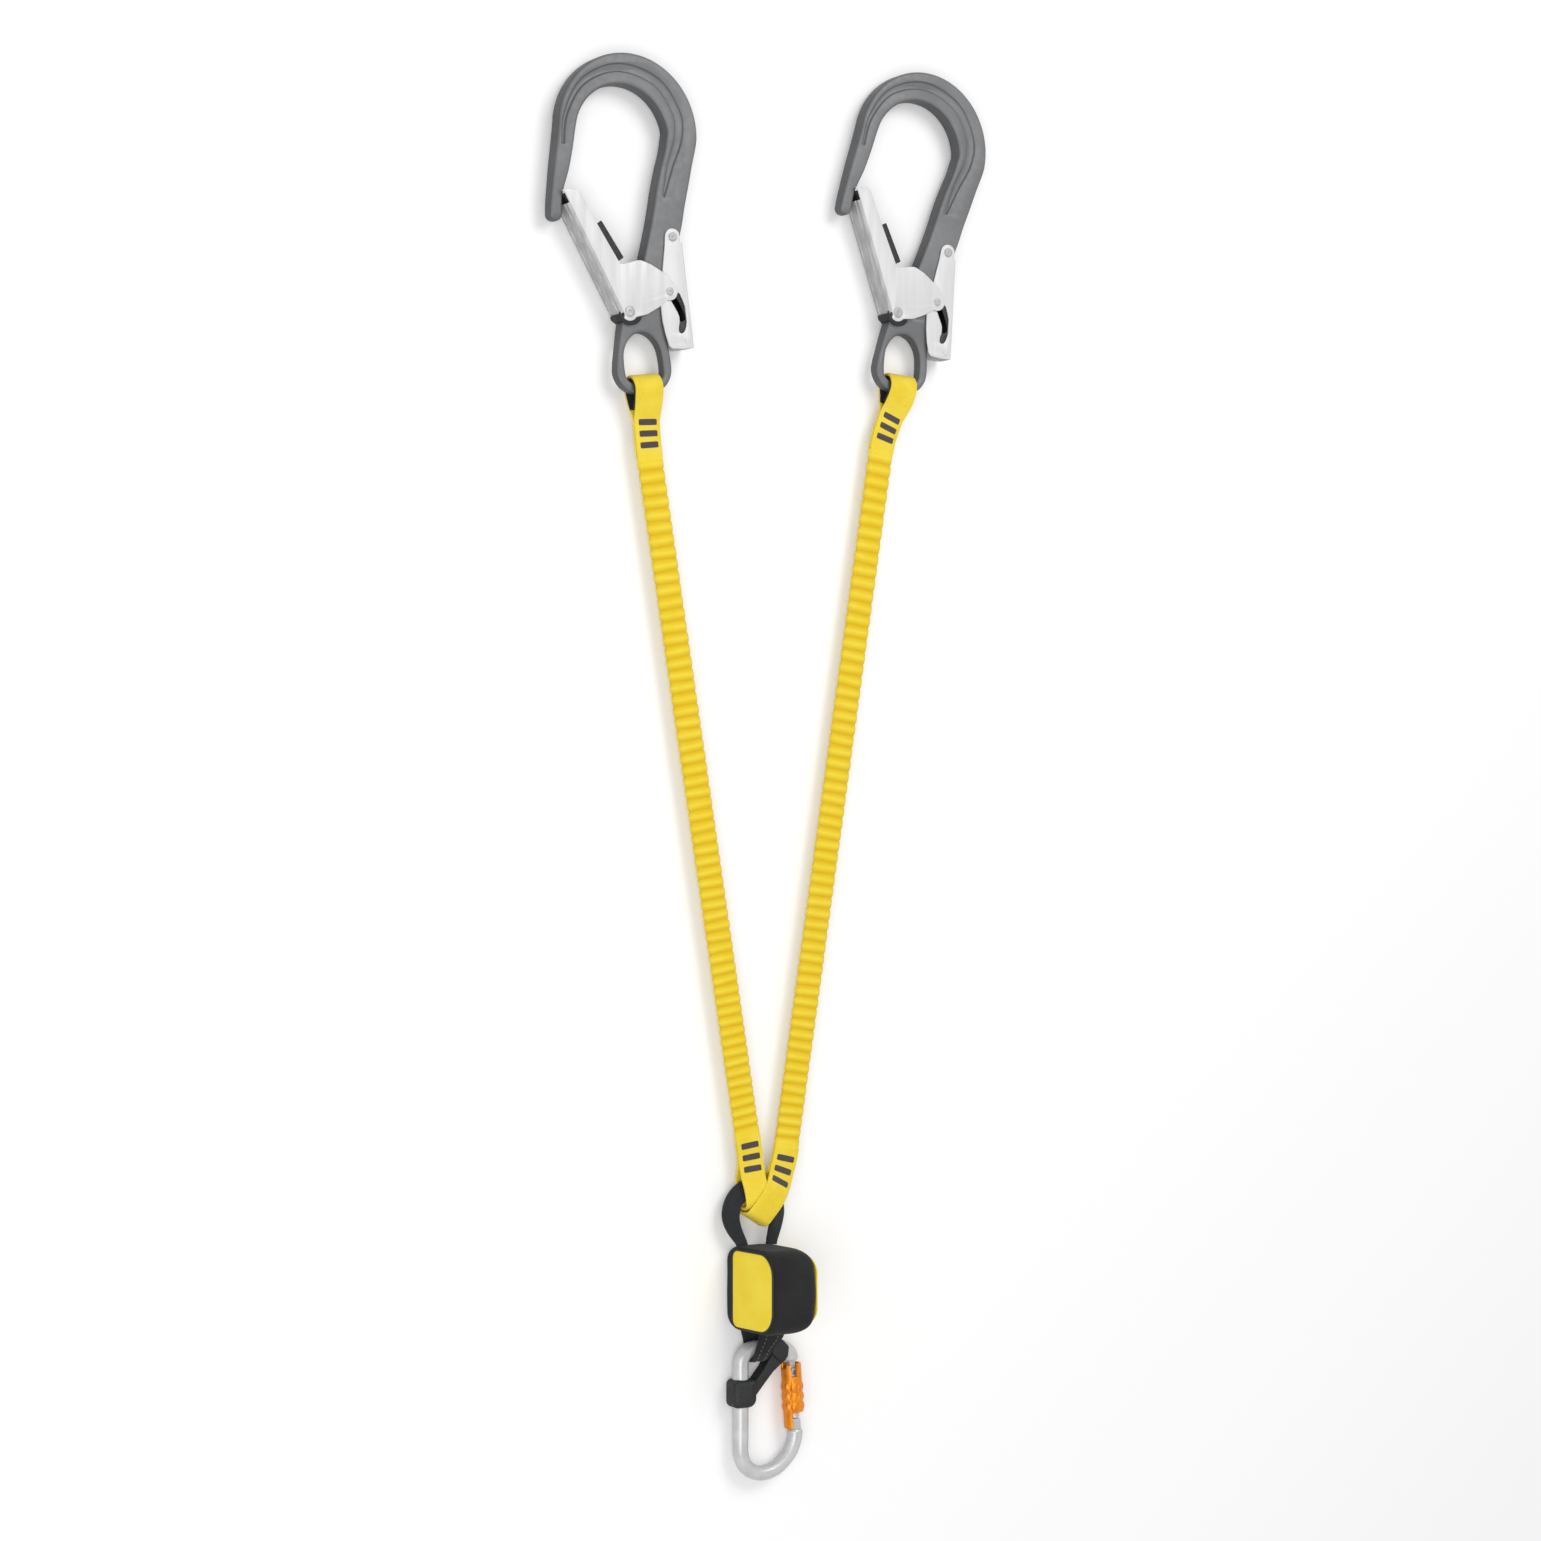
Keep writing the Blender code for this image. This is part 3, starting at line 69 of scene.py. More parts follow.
# Sizes are in millimetres, apart from those of the floor and the lamps, and angles in degrees.
# The shifts move the layout to the row frame.
SHIFT_X = 4.07
SHIFT_Y = -2.28
CAMERA_TURN = 30.0
CAMERA_AWAY = 2400.0
VIEW_HALF = 554.76

# Arms.
AXIS_Z = 10.2
STRAP = 2.0
STRAP_HALF = 10.0
GAP = 0.3
LEFT_EYE = (-109.5, 268.0)
LEFT_LEAN = 7.5
RIGHT_EYE = (100.9, 280.5)
RIGHT_LEAN = -3.5
LEFT_NECK = (-25.0, -261.0)
RIGHT_NECK = (7.0, -270.5)
UPPER_NECK = 49.0
LEFT_SWAY = -3.0
RIGHT_SWAY = -6.5
UPPER_BARS = (24.0, 32.0, 40.0)
UPPER_HALF = 11.0
UPPER_R = 8.6
LINER_THICK = 0.8
LINER_IN = 1.7
LINER_HALF = 11.3
LINER_END = 16.0
NECK_OVERLAP = 0.3
NECK_FADE = 6.0
NECK_HALF_THICK = 2.2
RIBS = 60
RIB_PARTS = 8
RIB_HALF_WIDTH = 9.2
RIB_SPREAD = 0.85
RIB_HALF_THICK = 1.55
RIB_RISE = 1.15
BAR_LENGTH = 14.2
BAR_WIDTH = 4.6
BAR_PICKS = 24

# Hooks.
HOOK_HALF = 6.5
NOSE_HALF = 5.5
EYE_HALF = 5.0
HEAD = (9.5, 178.5)
HEAD_R = 54.3
MOUTH = (4.0, 175.0)
MOUTH_R = 36.0
NOSE = (-53.8, 123.8)
NOSE_R = 4.6
PIVOT = (-8.0, 53.0)
BOSS_R = 5.0
LEVER_PIVOT = (33.5, 103.0)
FOLLOWER = (25.5, 65.0)
LEVER_PIN = (36.0, 29.0)
PIVOT_SHANK = 2.6
AXLE_SHANK = 2.0
FOLLOWER_SHANK = 1.8
PIN_SHANK = 1.2
EYE_MID = 1.0
EYE_OUT = 22.0
EYE_IN = 15.0
EYE_OUT_R = 17.0
EYE_IN_R = 6.5
GATE_LOW = 8.2
GATE_HIGH = 9.4
GATE_RUN = Vector((-0.3815, 0.9244))
GATE_OUT = Vector((-0.9244, -0.3815))
LEVER_LOW = 6.8
LEVER_HIGH = 7.9
LEVER_BACK = 41.2
HEAD_TOP = 10.2
COIL_START = 22.4
COIL_END = 39.3
COIL_Y = 34.5

# Webbing ring.
RING = (-19.4, -316.5)
RING_R = 19.2
RING_WIDTH = 13.3
RING_STRAP = 4.2
RING_TILT = 20.0
FLEX_Y = -339.2
ROOTS = (-29.2, -5.3)

# Pouch and lower loop.
POUCH_X0 = -37.5
POUCH_X1 = -0.5
POUCH_SHIFT = 8.5
POUCH_HEIGHT = 56.0
POUCH_Y0 = -398.0
POUCH_Y1 = -338.5
POUCH_CORNERS = (8.0, 2.6, 4.0, 4.5)
POUCH_END = 11.0
POUCH_LEAN = 5.0
LAYERS = 10
LAYER_PITCH = 4.2
LAYER_HALF = 14.5
LOOP_R = 8.25
LOOP_STRAP = 2.1

# Carabiner.
ROD_Z = 9.7
ROD_R = 5.8
TOP_Y = -413.2
SPINE_X = -30.3
CARA_PIVOT = (11.6, -432.0)
CARA_AXIS = (0.0655, -0.99785)
SLEEVE_R = 7.6
SLEEVE_BORE = 5.7
SLEEVE_TOP = -5.9
SLEEVE_END = 40.6
BUMPS = 8
BUMP_ROWS = (11.0, 18.0, 25.0)
SPRING_START = 10.0
SPRING_END = 22.6

SHIFT = Matrix.Translation((SHIFT_X / 1000, SHIFT_Y / 1000, 0))
LAYOUT = SHIFT @ Matrix.Scale(0.001, 4)
FLAT_SIDE = Vector((1, 0, 0))


def chance(*seeds):
    """A number from 0 to 1 that is always the same for the same seeds."""
    value = 0.0
    for i, seed in enumerate(seeds):
        value += (seed + 1.37) * (12.9898 + 65.233 * i)
    return (math.sin(value) * 43758.5453) % 1.0


def make_camera():
    """A camera that looks at the middle from its turn round to the left."""
    turn = math.radians(CAMERA_TURN)
    spot = CAMERA_AWAY / 1000 * Vector((-math.sin(turn), 0.0, math.cos(turn)))
    data = bpy.data.cameras.new("camera")
    data.sensor_fit = "HORIZONTAL"
    data.angle = 2 * math.atan(VIEW_HALF / CAMERA_AWAY)
    data.clip_end = 20.0
    camera = bpy.data.objects.new("camera", data)
    camera.matrix_world = SHIFT @ Matrix.Translation(spot) @ Matrix.Rotation(-turn, 4, "Y")
    bpy.context.scene.collection.objects.link(camera)
    bpy.context.scene.camera = camera


make_camera()


# Plan geometry.
def rotated(point, degrees, centre):
    c = math.cos(math.radians(degrees))
    s = math.sin(math.radians(degrees))
    x = point[0] - centre[0]
    y = point[1] - centre[1]
    return (centre[0] + c * x - s * y, centre[1] + s * x + c * y)


def arc(centre, radius, start, end, count, radius_y=None):
    points = []
    for i in range(count + 1):
        a = math.radians(start + (end - start) * i / count)
        y = (radius_y or radius) * math.sin(a)
        points.append((centre[0] + radius * math.cos(a), centre[1] + y))
    return points


def bore(centre, radius, count=23):
    """A round hole; its last point stops short of its first."""
    return arc(centre, radius, 0, 360 - 360 / (count + 1), count)


def weighted(weights, points):
    return tuple(sum(w * v for w, v in zip(weights, values)) for values in zip(*points))


def smooth(points, steps):
    """An even Catmull-Rom curve through points of 2 or 3 values."""
    last = len(points) - 1
    result = []
    for i in range(last):
        near = [points[min(max(i + k, 0), last)] for k in (-1, 0, 1, 2)]
        for k in range(steps):
            t = k / steps
            weights = (
                (-t + 2 * t * t - t ** 3) / 2,
                (2 - 5 * t * t + 3 * t ** 3) / 2,
                (t + 4 * t * t - 3 * t ** 3) / 2,
                (t ** 3 - t * t) / 2,
            )
            result.append(weighted(weights, near))
    return result + [tuple(points[-1])]


def bezier(p0, p1, p2, p3, count):
    result = []
    for i in range(count + 1):
        t = i / count
        u = 1 - t
        weights = (u ** 3, 3 * u * u * t, 3 * u * t * t, t ** 3)
        result.append(weighted(weights, (p0, p1, p2, p3)))
    return result


def fair(loop, steps):
    """A closed centripetal curve through plan points that lie unevenly far apart."""

    def between(a, b, start, end, u):
        return a * ((end - u) / (end - start)) + b * ((u - start) / (end - start))

    size = len(loop)
    result = []
    for i in range(size):
        p = [Vector(loop[(i + k) % size]) for k in (-1, 0, 1, 2)]
        t = [0.0]
        for a, b in zip(p, p[1:]):
            t.append(t[-1] + max((b - a).length, 1e-6) ** 0.5)
        for k in range(steps):
            u = t[1] + (t[2] - t[1]) * k / steps
            q = [between(p[j], p[j + 1], t[j], t[j + 1], u) for j in range(3)]
            r = [between(q[j], q[j + 1], t[j], t[j + 2], u) for j in range(2)]
            result.append(tuple(between(r[0], r[1], t[1], t[2], u)))
    return result


def filleted(loop, radius, steps=4):
    """The loop with its corners rounded; radius may depend on the point."""
    size = len(loop)
    result = []
    for i in range(size):
        here = Vector(loop[i])
        before = Vector(loop[i - 1]) - here
        after = Vector(loop[(i + 1) % size]) - here
        wanted = radius(loop[i]) if callable(radius) else radius
        angle = before.angle(after, math.pi)
        if angle > math.radians(172):
            result.append(tuple(here))
            continue
        reach = min(wanted / math.tan(angle / 2), before.length * 0.48, after.length * 0.48)
        start = here + before.normalized() * reach
        end = here + after.normalized() * reach
        for k in range(steps + 1):
            t = k / steps
            result.append(weighted(((1 - t) ** 2, 2 * t * (1 - t), t * t), (start, here, end)))
    return result


def turned(loop, left):
    """The loop, run so that its inside lies to the left or to the right."""
    area = sum(a[0] * b[1] - b[0] * a[1] for a, b in zip(loop, loop[1:] + loop[:1]))
    return loop if (area > 0) == left else loop[::-1]


def offset(loop, distance):
    """Each point moved to the left of the loop's run, mitred; distance depends on the point."""
    result = []
    size = len(loop)
    for i in range(size):
        before = (Vector(loop[i]) - Vector(loop[i - 1])).normalized()
        after = (Vector(loop[(i + 1) % size]) - Vector(loop[i])).normalized()
        middle = Vector((-before.y - after.y, before.x + after.x))
        scale = 2.0 / max(middle.length_squared, 0.8)
        result.append(tuple(Vector(loop[i]) + middle * scale * distance(loop[i])))
    return result


def run_at(points, i):
    """The direction in which the points run at one of them."""
    before = points[max(i - 1, 0)]
    after = points[min(i + 1, len(points) - 1)]
    return Vector([b - a for a, b in zip(before, after)]).normalized()


def band(points, widths):
    """The outline of a stripe along the points, with a width at each."""
    sides = ([], [])
    for i, point in enumerate(points):
        along = run_at(points, i)
        across = Vector((-along.y, along.x)) * widths[i] / 2
        sides[0].append((point[0] + across.x, point[1] + across.y))
        sides[1].append((point[0] - across.x, point[1] - across.y))
    return sides[0] + sides[1][::-1]


def rounded(left, right, low, high, radii, steps):
    """A rectangle with round corners: radii for high right, high left, low left, low right."""
    corners = ((right, high, -1, -1), (left, high, 1, -1), (left, low, 1, 1), (right, low, -1, 1))
    loop = []
    for k, (x, y, sx, sy) in enumerate(corners):
        r = radii[k]
        loop += arc((x + sx * r, y + sy * r), r, 90 * k, 90 * k + 90, steps)
    return loop


def ease(value, start, end, first, last):
    t = min(max((value - start) / (end - start), 0.0), 1.0)
    return first + (last - first) * t * t * (3 - 2 * t)


class Plan:
    """A plan curve with lengths along it, which runs on straight past its ends."""

    def __init__(self, points):
        self.points = [Vector(p) for p in points]
        self.at = [0.0]
        for a, b in zip(self.points, self.points[1:]):
            self.at.append(self.at[-1] + (b - a).length)

    def place(self, s):
        i = 0
        while i < len(self.points) - 2 and self.at[i + 1] < s:
            i += 1
        along = (self.points[i + 1] - self.points[i]).normalized()
        return self.points[i] + along * (s - self.at[i]), along

    def heading(self, s):
        total = Vector((0, 0))
        for k in (-2, -1, 0, 1, 2):
            total += self.place(s + 1.5 * k)[1]
        return total.normalized()


# Materials.
def rgb(code):
    values = [int(code[i:i + 2], 16) / 255 for i in (0, 2, 4)]
    return [v / 12.92 if v <= 0.04045 else ((v + 0.055) / 1.055) ** 2.4 for v in values]


class Nodes:
    """Helpers that add and link the nodes of one tree."""

    def __init__(self, tree):
        self.nodes = tree.nodes
        self.links = tree.links

    def link(self, source, target):
        """Joins a socket to the target, or gives the target a value or a colour by its hex code."""
        if isinstance(source, bpy.types.NodeSocket):
            self.links.new(source, target)
        else:
            target.default_value = (*rgb(source), 1.0) if isinstance(source, str) else source

    def add(self, kind, inputs=None, **settings):
        node = self.nodes.new(f"ShaderNode{kind}")
        for key, value in settings.items():
            setattr(node, key, value)
        for key, value in (inputs or {}).items():
            self.link(value, node.inputs[key])
        return node

    def maths(self, operation, a, b=0.0, c=0.0):
        return self.add("Math", {0: a, 1: b, 2: c}, operation=operation).outputs[0]

    def ray(self, kind):
        return self.add("LightPath").outputs[f"Is {kind} Ray"]


class Look(Nodes):
    """A node material with helpers for its colour and relief."""

    def __init__(self, name, roughness, metallic=0.0, **sockets):
        self.made = bpy.data.materials.new(name)
        self.made.use_nodes = True
        super().__init__(self.made.node_tree)
        self.shader = self.nodes["Principled BSDF"]
        self.place = self.add("TexCoord").outputs["Object"]
        for key, value in {"Roughness": roughness, "Metallic": metallic, **sockets}.items():
            self.link(value, self.shader.inputs[key.replace("_", " ")])

    def noise(self, scale, detail=3.0, rough=0.5, stretch=None):
        place = self.place
        if stretch:
            place = self.add("Mapping", {"Vector": place, "Scale": stretch}).outputs[0]
        inputs = {"Vector": place, "Scale": scale, "Detail": detail, "Roughness": rough}
        return self.add("TexNoise", inputs).outputs["Fac"]

    def step(self, value, low, high, first=0.0, last=1.0):
        inputs = {"Value": value, "From Min": low, "From Max": high, "To Min": first, "To Max": last}
        return self.add("MapRange", inputs, interpolation_type="SMOOTHSTEP").outputs[0]

    def cloud(self, scale, detail=3.0, low=0.3, high=0.7, first=0.0, last=1.0):
        """Noise with its contrast raised."""
        return self.step(self.noise(scale, detail), low, high, first, last)

    def wave(self, value, length):
        return self.maths("SINE", self.maths("MULTIPLY", value, 2 * math.pi / length))

    def split(self, vector):
        return self.add("SeparateXYZ", {0: vector}).outputs

    def given(self, name):
        """The node of values that the mesh carries at each point under this name."""
        return self.add("Attribute", attribute_name=name).outputs

    def run(self):
        """Millimetres along and across a strap, which its mesh carries."""
        return self.split(self.given("run")["Vector"])

    def mix(self, factor, first, second):
        inputs = {0: factor, 6: first, 7: second}
        return self.add("Mix", inputs, data_type="RGBA").outputs[2]

    def edge_wear_and_highlight(self, base, low, high, share, colour):
        """A lighter colour on edges that stand out, over the base: edge wear, and on the forging a
        painted highlight.
        """
        edge = self.step(self.add("NewGeometry").outputs["Pointiness"], low, high)
        return self.mix(self.maths("MULTIPLY", edge, share), base, colour)

    def facing(self, low, high):
        """The share of faces that look along the row's Z axis; the forging uses it to paint shade on
        its side walls.
        """
        normal = self.split(self.add("TexCoord").outputs["Normal"])
        return self.step(self.maths("ABSOLUTE", normal[2]), low, high)

    def finished(self, colour, roughness, *heights):
        """The material, with reliefs that are each an output and its height in millimetres."""
        self.link(colour, self.shader.inputs["Base Color"])
        if roughness:
            self.link(roughness, self.shader.inputs["Roughness"])
        inputs = {"Strength": 1.0}
        for value, height in heights:
            inputs.update({"Height": value, "Distance": height / 1000})
            inputs["Normal"] = self.add("Bump", inputs).outputs[0]
        self.link(inputs["Normal"], self.shader.inputs["Normal"])
        return self.made


def webbing_look(name, light, middle, dark, groove=None):
    look = Look(name, 0.8, Sheen_Weight=0.08, Sheen_Roughness=0.5, Specular_IOR_Level=0.3)
    run = look.run()
    threads = look.maths("MULTIPLY", look.wave(run[0], 2.2), look.wave(run[1], 1.8))
    base = look.mix(look.cloud(60.0, 4.0), middle, light)
    base = look.mix(look.step(threads, -1.0, 1.0, 0.0, 0.2), base, dark)
    # Painted shade: the troughs between the ribs get a darker yellow.
    if groove:
        base = look.mix(look.given("groove")["Fac"], base, groove)
    rough = look.cloud(900.0, first=0.7, last=0.88)
    return look.finished(base, rough, (threads, 0.16), (look.noise(1400.0, 2.0), 0.12))


def forged_look():
    look = Look("forged_grey", 0.5, 0.2)
    cloud = look.cloud(28.0, 5.0, 0.3, 0.72)
    base = look.mix(cloud, "6b6c6e", "77787a")
    base = look.mix(look.cloud(400.0, 2.0, 0.45, 0.8, 0.0, 0.3), base, "626365")
    # Painted shade: the side walls get a darker grey than the faces that look along Z.
    walls = look.mix(cloud, "535456", "5c5d5f")
    base = look.mix(look.facing(0.3, 0.85), walls, base)
    # Painted highlight: the forging's rounded edges get a lighter grey.
    base = look.edge_wear_and_highlight(base, 0.53, 0.62, 0.7, "a0a1a3")
    rough = look.cloud(240.0, 4.0, 0.25, 0.75, 0.42, 0.54)
    return look.finished(base, rough, (look.noise(900.0), 0.03), (look.noise(140.0), 0.04))


def plate_look(name, light, dark, roughness=0.45, metallic=0.1):
    look = Look(name, roughness, metallic)
    brushed = look.noise(220.0, 4.0, 0.6, (1.0, 0.06, 1.0))
    base = look.mix(look.step(brushed, 0.3, 0.75), light, dark)
    base = look.edge_wear_and_highlight(base, 0.55, 0.7, 0.35, "f6f6f6")
    rough = look.step(brushed, 0.3, 0.7, roughness - 0.08, roughness + 0.08)
    return look.finished(base, rough, (brushed, 0.004), (look.noise(1200.0, 2.0), 0.01))


def rubber_look(name, light, dark, roughness=0.62):
    look = Look(name, roughness)
    base = look.mix(look.cloud(120.0, 5.0), dark, light)
    rough = look.cloud(500.0, 2.0, first=roughness - 0.08, last=roughness + 0.08)
    return look.finished(base, rough, (look.noise(1600.0, 2.0), 0.05), (look.noise(90.0, 2.0), 0.1))


def fabric_look(name, light, dark, pitch, depth):
    """Coated woven cloth; its threads run with the row axes."""
    look = Look(name, 0.76, Sheen_Weight=0.08, Sheen_Roughness=0.45, Specular_IOR_Level=0.3)
    x, y, z = look.split(look.place)
    ends = look.wave(look.maths("ADD", x, z), pitch / 1000)
    threads = look.maths("MULTIPLY", ends, look.wave(y, pitch / 1000))
    base = look.mix(look.cloud(45.0, 4.0), dark, light)
    base = look.mix(look.step(threads, -1.0, 1.0, 0.0, 0.22), base, dark)
    return look.finished(base, None, (threads, depth), (look.noise(70.0), 0.35))


def polished_look():
    look = Look("polished_alloy", 0.34, 0.3)
    smear = look.noise(90.0, 5.0, 0.6)
    base = look.mix(look.step(smear, 0.3, 0.7), "c6c6c7", "d2d2d3")
    scratches = look.step(look.noise(320.0, 3.0, 0.6, (1.0, 0.12, 1.0)), 0.62, 0.74)
    base = look.mix(look.maths("MULTIPLY", scratches, 0.35), base, "b4b4b6")
    rough = look.step(smear, 0.3, 0.7, 0.3, 0.4)
    return look.finished(base, rough, (scratches, 0.006), (look.noise(60.0, 2.0), 0.03))


def anodised_look():
    look = Look("orange_sleeve", 0.34, 0.35)
    base = look.mix(look.cloud(160.0, 4.0), "ea820a", "f49a12")
    base = look.edge_wear_and_highlight(base, 0.54, 0.66, 0.4, "f8b850")
    rough = look.cloud(160.0, 4.0, first=0.28, last=0.42)
    return look.finished(base, rough, (look.noise(900.0, 2.0), 0.03))


def thread_look(name, light, dark):
    look = Look(name, 0.7, Sheen_Weight=0.3)
    run = look.run()
    twist = look.wave(look.maths("ADD", run[0], run[1]), 0.55)
    base = look.mix(look.step(twist, -1.0, 1.0), dark, light)
    base = look.mix(look.cloud(500.0, 3.0, 0.35, 0.65, 0.0, 0.5), base, dark)
    return look.finished(base, None, (twist, 0.08), (look.noise(1500.0), 0.08))


YELLOW = webbing_look("yellow_webbing", "f9e04a", "f3d534", "e2bd18")
RIBBED = webbing_look("ribbed_webbing", "fbe348", "f8dc34", "ecc81a", "e6bf08")
BLACK_WEB = webbing_look("black_webbing", "2c2e30", "232527", "141516")
LINER_SKIN = rubber_look("black_liner", "232325", "161617", 0.7)
FORGED = forged_look()
PLATE = plate_look("light_plate", "d9d9d9", "d0d0d0")
# Painted shade: a darker copy of the plate look, for the gate's web.
SHADED_WEB = plate_look("shaded_web_plate", "bcbcbc", "a6a6a6", 0.5, 0.2)
RIVET = plate_look("light_rivet", "b9b9b9", "a2a2a2", 0.42, 0.2)
WIRE = plate_look("spring_wire", "8c8d8f", "737476", 0.35, 0.8)
RUBBER = rubber_look("dark_rubber", "222325", "18191a")
# Painted shade: near-black for the pieces that stand in for shaded hollows.
SHADE_BLACK = rubber_look("painted_shade_black", "1d1d1f", "131314", 0.5)
POUCH = fabric_look("black_fabric", "232425", "181819", 0.9, 0.1)
PANEL = fabric_look("yellow_fabric", "fde547", "f6d833", 0.8, 0.05)
ALLOY = polished_look()
ORANGE = anodised_look()
BAR_THREAD = thread_look("bar_thread", "584d52", "3b3236")
TAN_THREAD = thread_look("tan_thread", "8a835c", "625c3c")


# Pieces.
def piece(name, shape, look, body, node=None, at=LAYOUT, sharp=38.0, slot=None, ride=True):
    """A mesh object from points in millimetres, which stands for a node of the part if one
    is named. The shape may carry run and groove values."""
    mesh = bpy.data.meshes.new(name)
    mesh.from_pydata([at @ Vector(p) for p in shape[0]], [], shape[1])
    bm = bmesh.new()
    bm.from_mesh(mesh)
    bmesh.ops.recalc_face_normals(bm, faces=bm.faces)
    bm.to_mesh(mesh)
    bm.free()
    mesh.shade_smooth()
    mesh.set_sharp_from_angle(angle=math.radians(sharp))
    for key, values in (shape[2] if len(shape) > 2 else {}).items():
        if key == "run":
            flat = [v for value in values for v in value]
            mesh.attributes.new(key, "FLOAT_VECTOR", "POINT").data.foreach_set("vector", flat)
        else:
            mesh.attributes.new(key, "FLOAT", "POINT").data.foreach_set("value", values)
    mesh.materials.append(look)
    made = bpy.data.objects.new(name, mesh)
    bpy.context.scene.collection.objects.link(made)
    if ride:
        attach(made, body)
    slot or look.name.split(".")[0]
    if node:
        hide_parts(node)
    return made


def joined(shapes):
    points, faces, extra = [], [], {}
    for shape in shapes:
        base = len(points)
        points += list(shape[0])
        faces += [tuple(base + i for i in face) for face in shape[1]]
        for key, values in (shape[2] if len(shape) > 2 else {}).items():
            extra.setdefault(key, []).extend(values)
    return points, faces, extra


def lifted(shape):
    """The shape at the height of the carabiner's bar."""
    return ([(x, y, z + ROD_Z) for x, y, z in shape[0]], *shape[1:])


def bridge(lower, upper):
    """The faces between two rings, given by their points' numbers."""
    size = len(lower)
    sides = [(i, (i + 1) % size) for i in range(size)]
    return [(lower[i], lower[j], upper[j], upper[i]) for i, j in sides]


def plate(outline, low, high, holes=(), edge=0.3, steps=3, pocket=None, warp=None):
    """A plate with rounded edges, holes and a shallow pocket in both faces."""
    points = []
    faces = []

    def ring(loop, height):
        start = len(points)
        points.extend((p[0], p[1], height(p)) for p in loop)
        return list(range(start, len(points)))

    def cap(rings):
        index = [i for r in rings for i in r]
        flat = [[Vector((points[i][0], points[i][1], 0)) for i in r] for r in rings]
        faces.extend((index[a], index[b], index[c]) for a, b, c in tessellate_polygon(flat))

    def walls(rings):
        for lower, upper in zip(rings, rings[1:]):
            faces.extend(bridge(lower, upper))

    cut = edge if callable(edge) else lambda point: edge
    top = []
    bottom = []
    for loop in [turned(outline, True)] + [turned(h, False) for h in holes]:
        rings = []
        for k in range(steps + 1):
            a = math.radians(90.0 * k / steps)
            inner = offset(loop, lambda p: cut(p) * (1 - math.sin(a)))
            rings.append((inner, 1 - math.cos(a)))
        made = [ring(r, lambda p, f=f: low + cut(p) * f) for r, f in rings]
        made += [ring(r, lambda p, f=f: high - cut(p) * f) for r, f in rings[::-1]]
        walls(made)
        bottom.append(made[0])
        top.append(made[-1])
    if pocket:
        loop, depth, draft = pocket
        rim = turned(loop, False)
        for face, level, inward in ((top, high, -depth), (bottom, low, depth)):
            rings = []
            for k in range(7):
                z = level + ease(k, 0, 6, 0.0, inward)
                rings.append(ring(offset(rim, lambda p: -draft * k / 6), lambda p: z))
            walls(rings)
            cap([rings[-1]])
            face.append(rings[0])
    cap(top)
    cap(bottom)
    return [warp(p) for p in points] if warp else points, faces


def both_faces(outline, low, high, **details):
    """A plate in front of the plan and its twin behind it."""
    return [plate(outline, low, high, **details), plate(outline, -high, -low, **details)]


def loft(rings, closed=False, **carried):
    """A skin through rings of points; it may carry values for each point."""
    size = len(rings[0])
    numbers = [range(i * size, (i + 1) * size) for i in range(len(rings))]
    faces = []
    for lower, upper in zip(numbers, numbers[1:] + numbers[:1] * closed):
        faces += bridge(lower, upper)
    if not closed:
        faces += [tuple(numbers[0])[::-1], tuple(numbers[-1])]
    return [p for r in rings for p in r], faces, carried


def tube(path, radius, sides, closed=False, section=None):
    """A bar along 3-D points; section gives the share of its radius by angle."""
    size = len(path)
    radii = radius if isinstance(radius, list) else [radius] * size
    rings, runs = [], []
    side = None
    length = 0.0
    for i in range(size):
        along = run_at(path[i - 1:] + path[:i - 1], 1) if closed else run_at(path, i)
        if side is None:
            up = Vector((0, 0, 1)) if abs(along.z) < 0.8 else Vector((1, 0, 0))
            side = up.cross(along)
        side = (side - along * side.dot(along)).normalized()
        other = along.cross(side)
        centre = Vector(path[i])
        if i:
            length += (centre - Vector(path[i - 1])).length
        rings.append([])
        for k in range(sides):
            a = 2 * math.pi * k / sides
            r = radii[i] * (section(a) if section else 1.0)
            rings[-1].append(centre + r * (math.cos(a) * side + math.sin(a) * other))
            runs.append((length, radii[i] * a, 0.0))
    return loft(rings, closed, run=runs)


def coil(turns, count, spot):
    """A wire's points; spot gives each from the share run so far and the turn's cosine and sine."""
    points = []
    for i in range(count + 1):
        a = 2 * math.pi * turns * i / count
        points.append(spot(i / count, math.cos(a), math.sin(a)))
    return points


# Straps.
def section(half_width, half, round_steps=4, flats=6):
    """(across, up) points round a strap with round edges."""
    edge = half_width - half
    loop = []
    for sign in (1, -1):
        loop += [(sign * (edge - 2 * edge * k / flats), sign * half) for k in range(flats + 1)]
        start = 180 - 90 * sign
        loop += arc((-sign * edge, 0), half, start, start + 180, round_steps)[1:-1]
    return loop


def strap(stations, thickness):
    """A flat strap through (centre, across, normal, half width) stations."""
    rings, runs = [], []
    length = 0.0
    for i, (centre, across, normal, width) in enumerate(stations):
        if i:
            length += (centre - stations[i - 1][0]).length
        loop = section(width, thickness / 2)
        rings.append([tuple(centre + across * a + normal * b) for a, b in loop])
        runs += [(length, a, b) for a, b in loop]
    return loft(rings, run=runs)


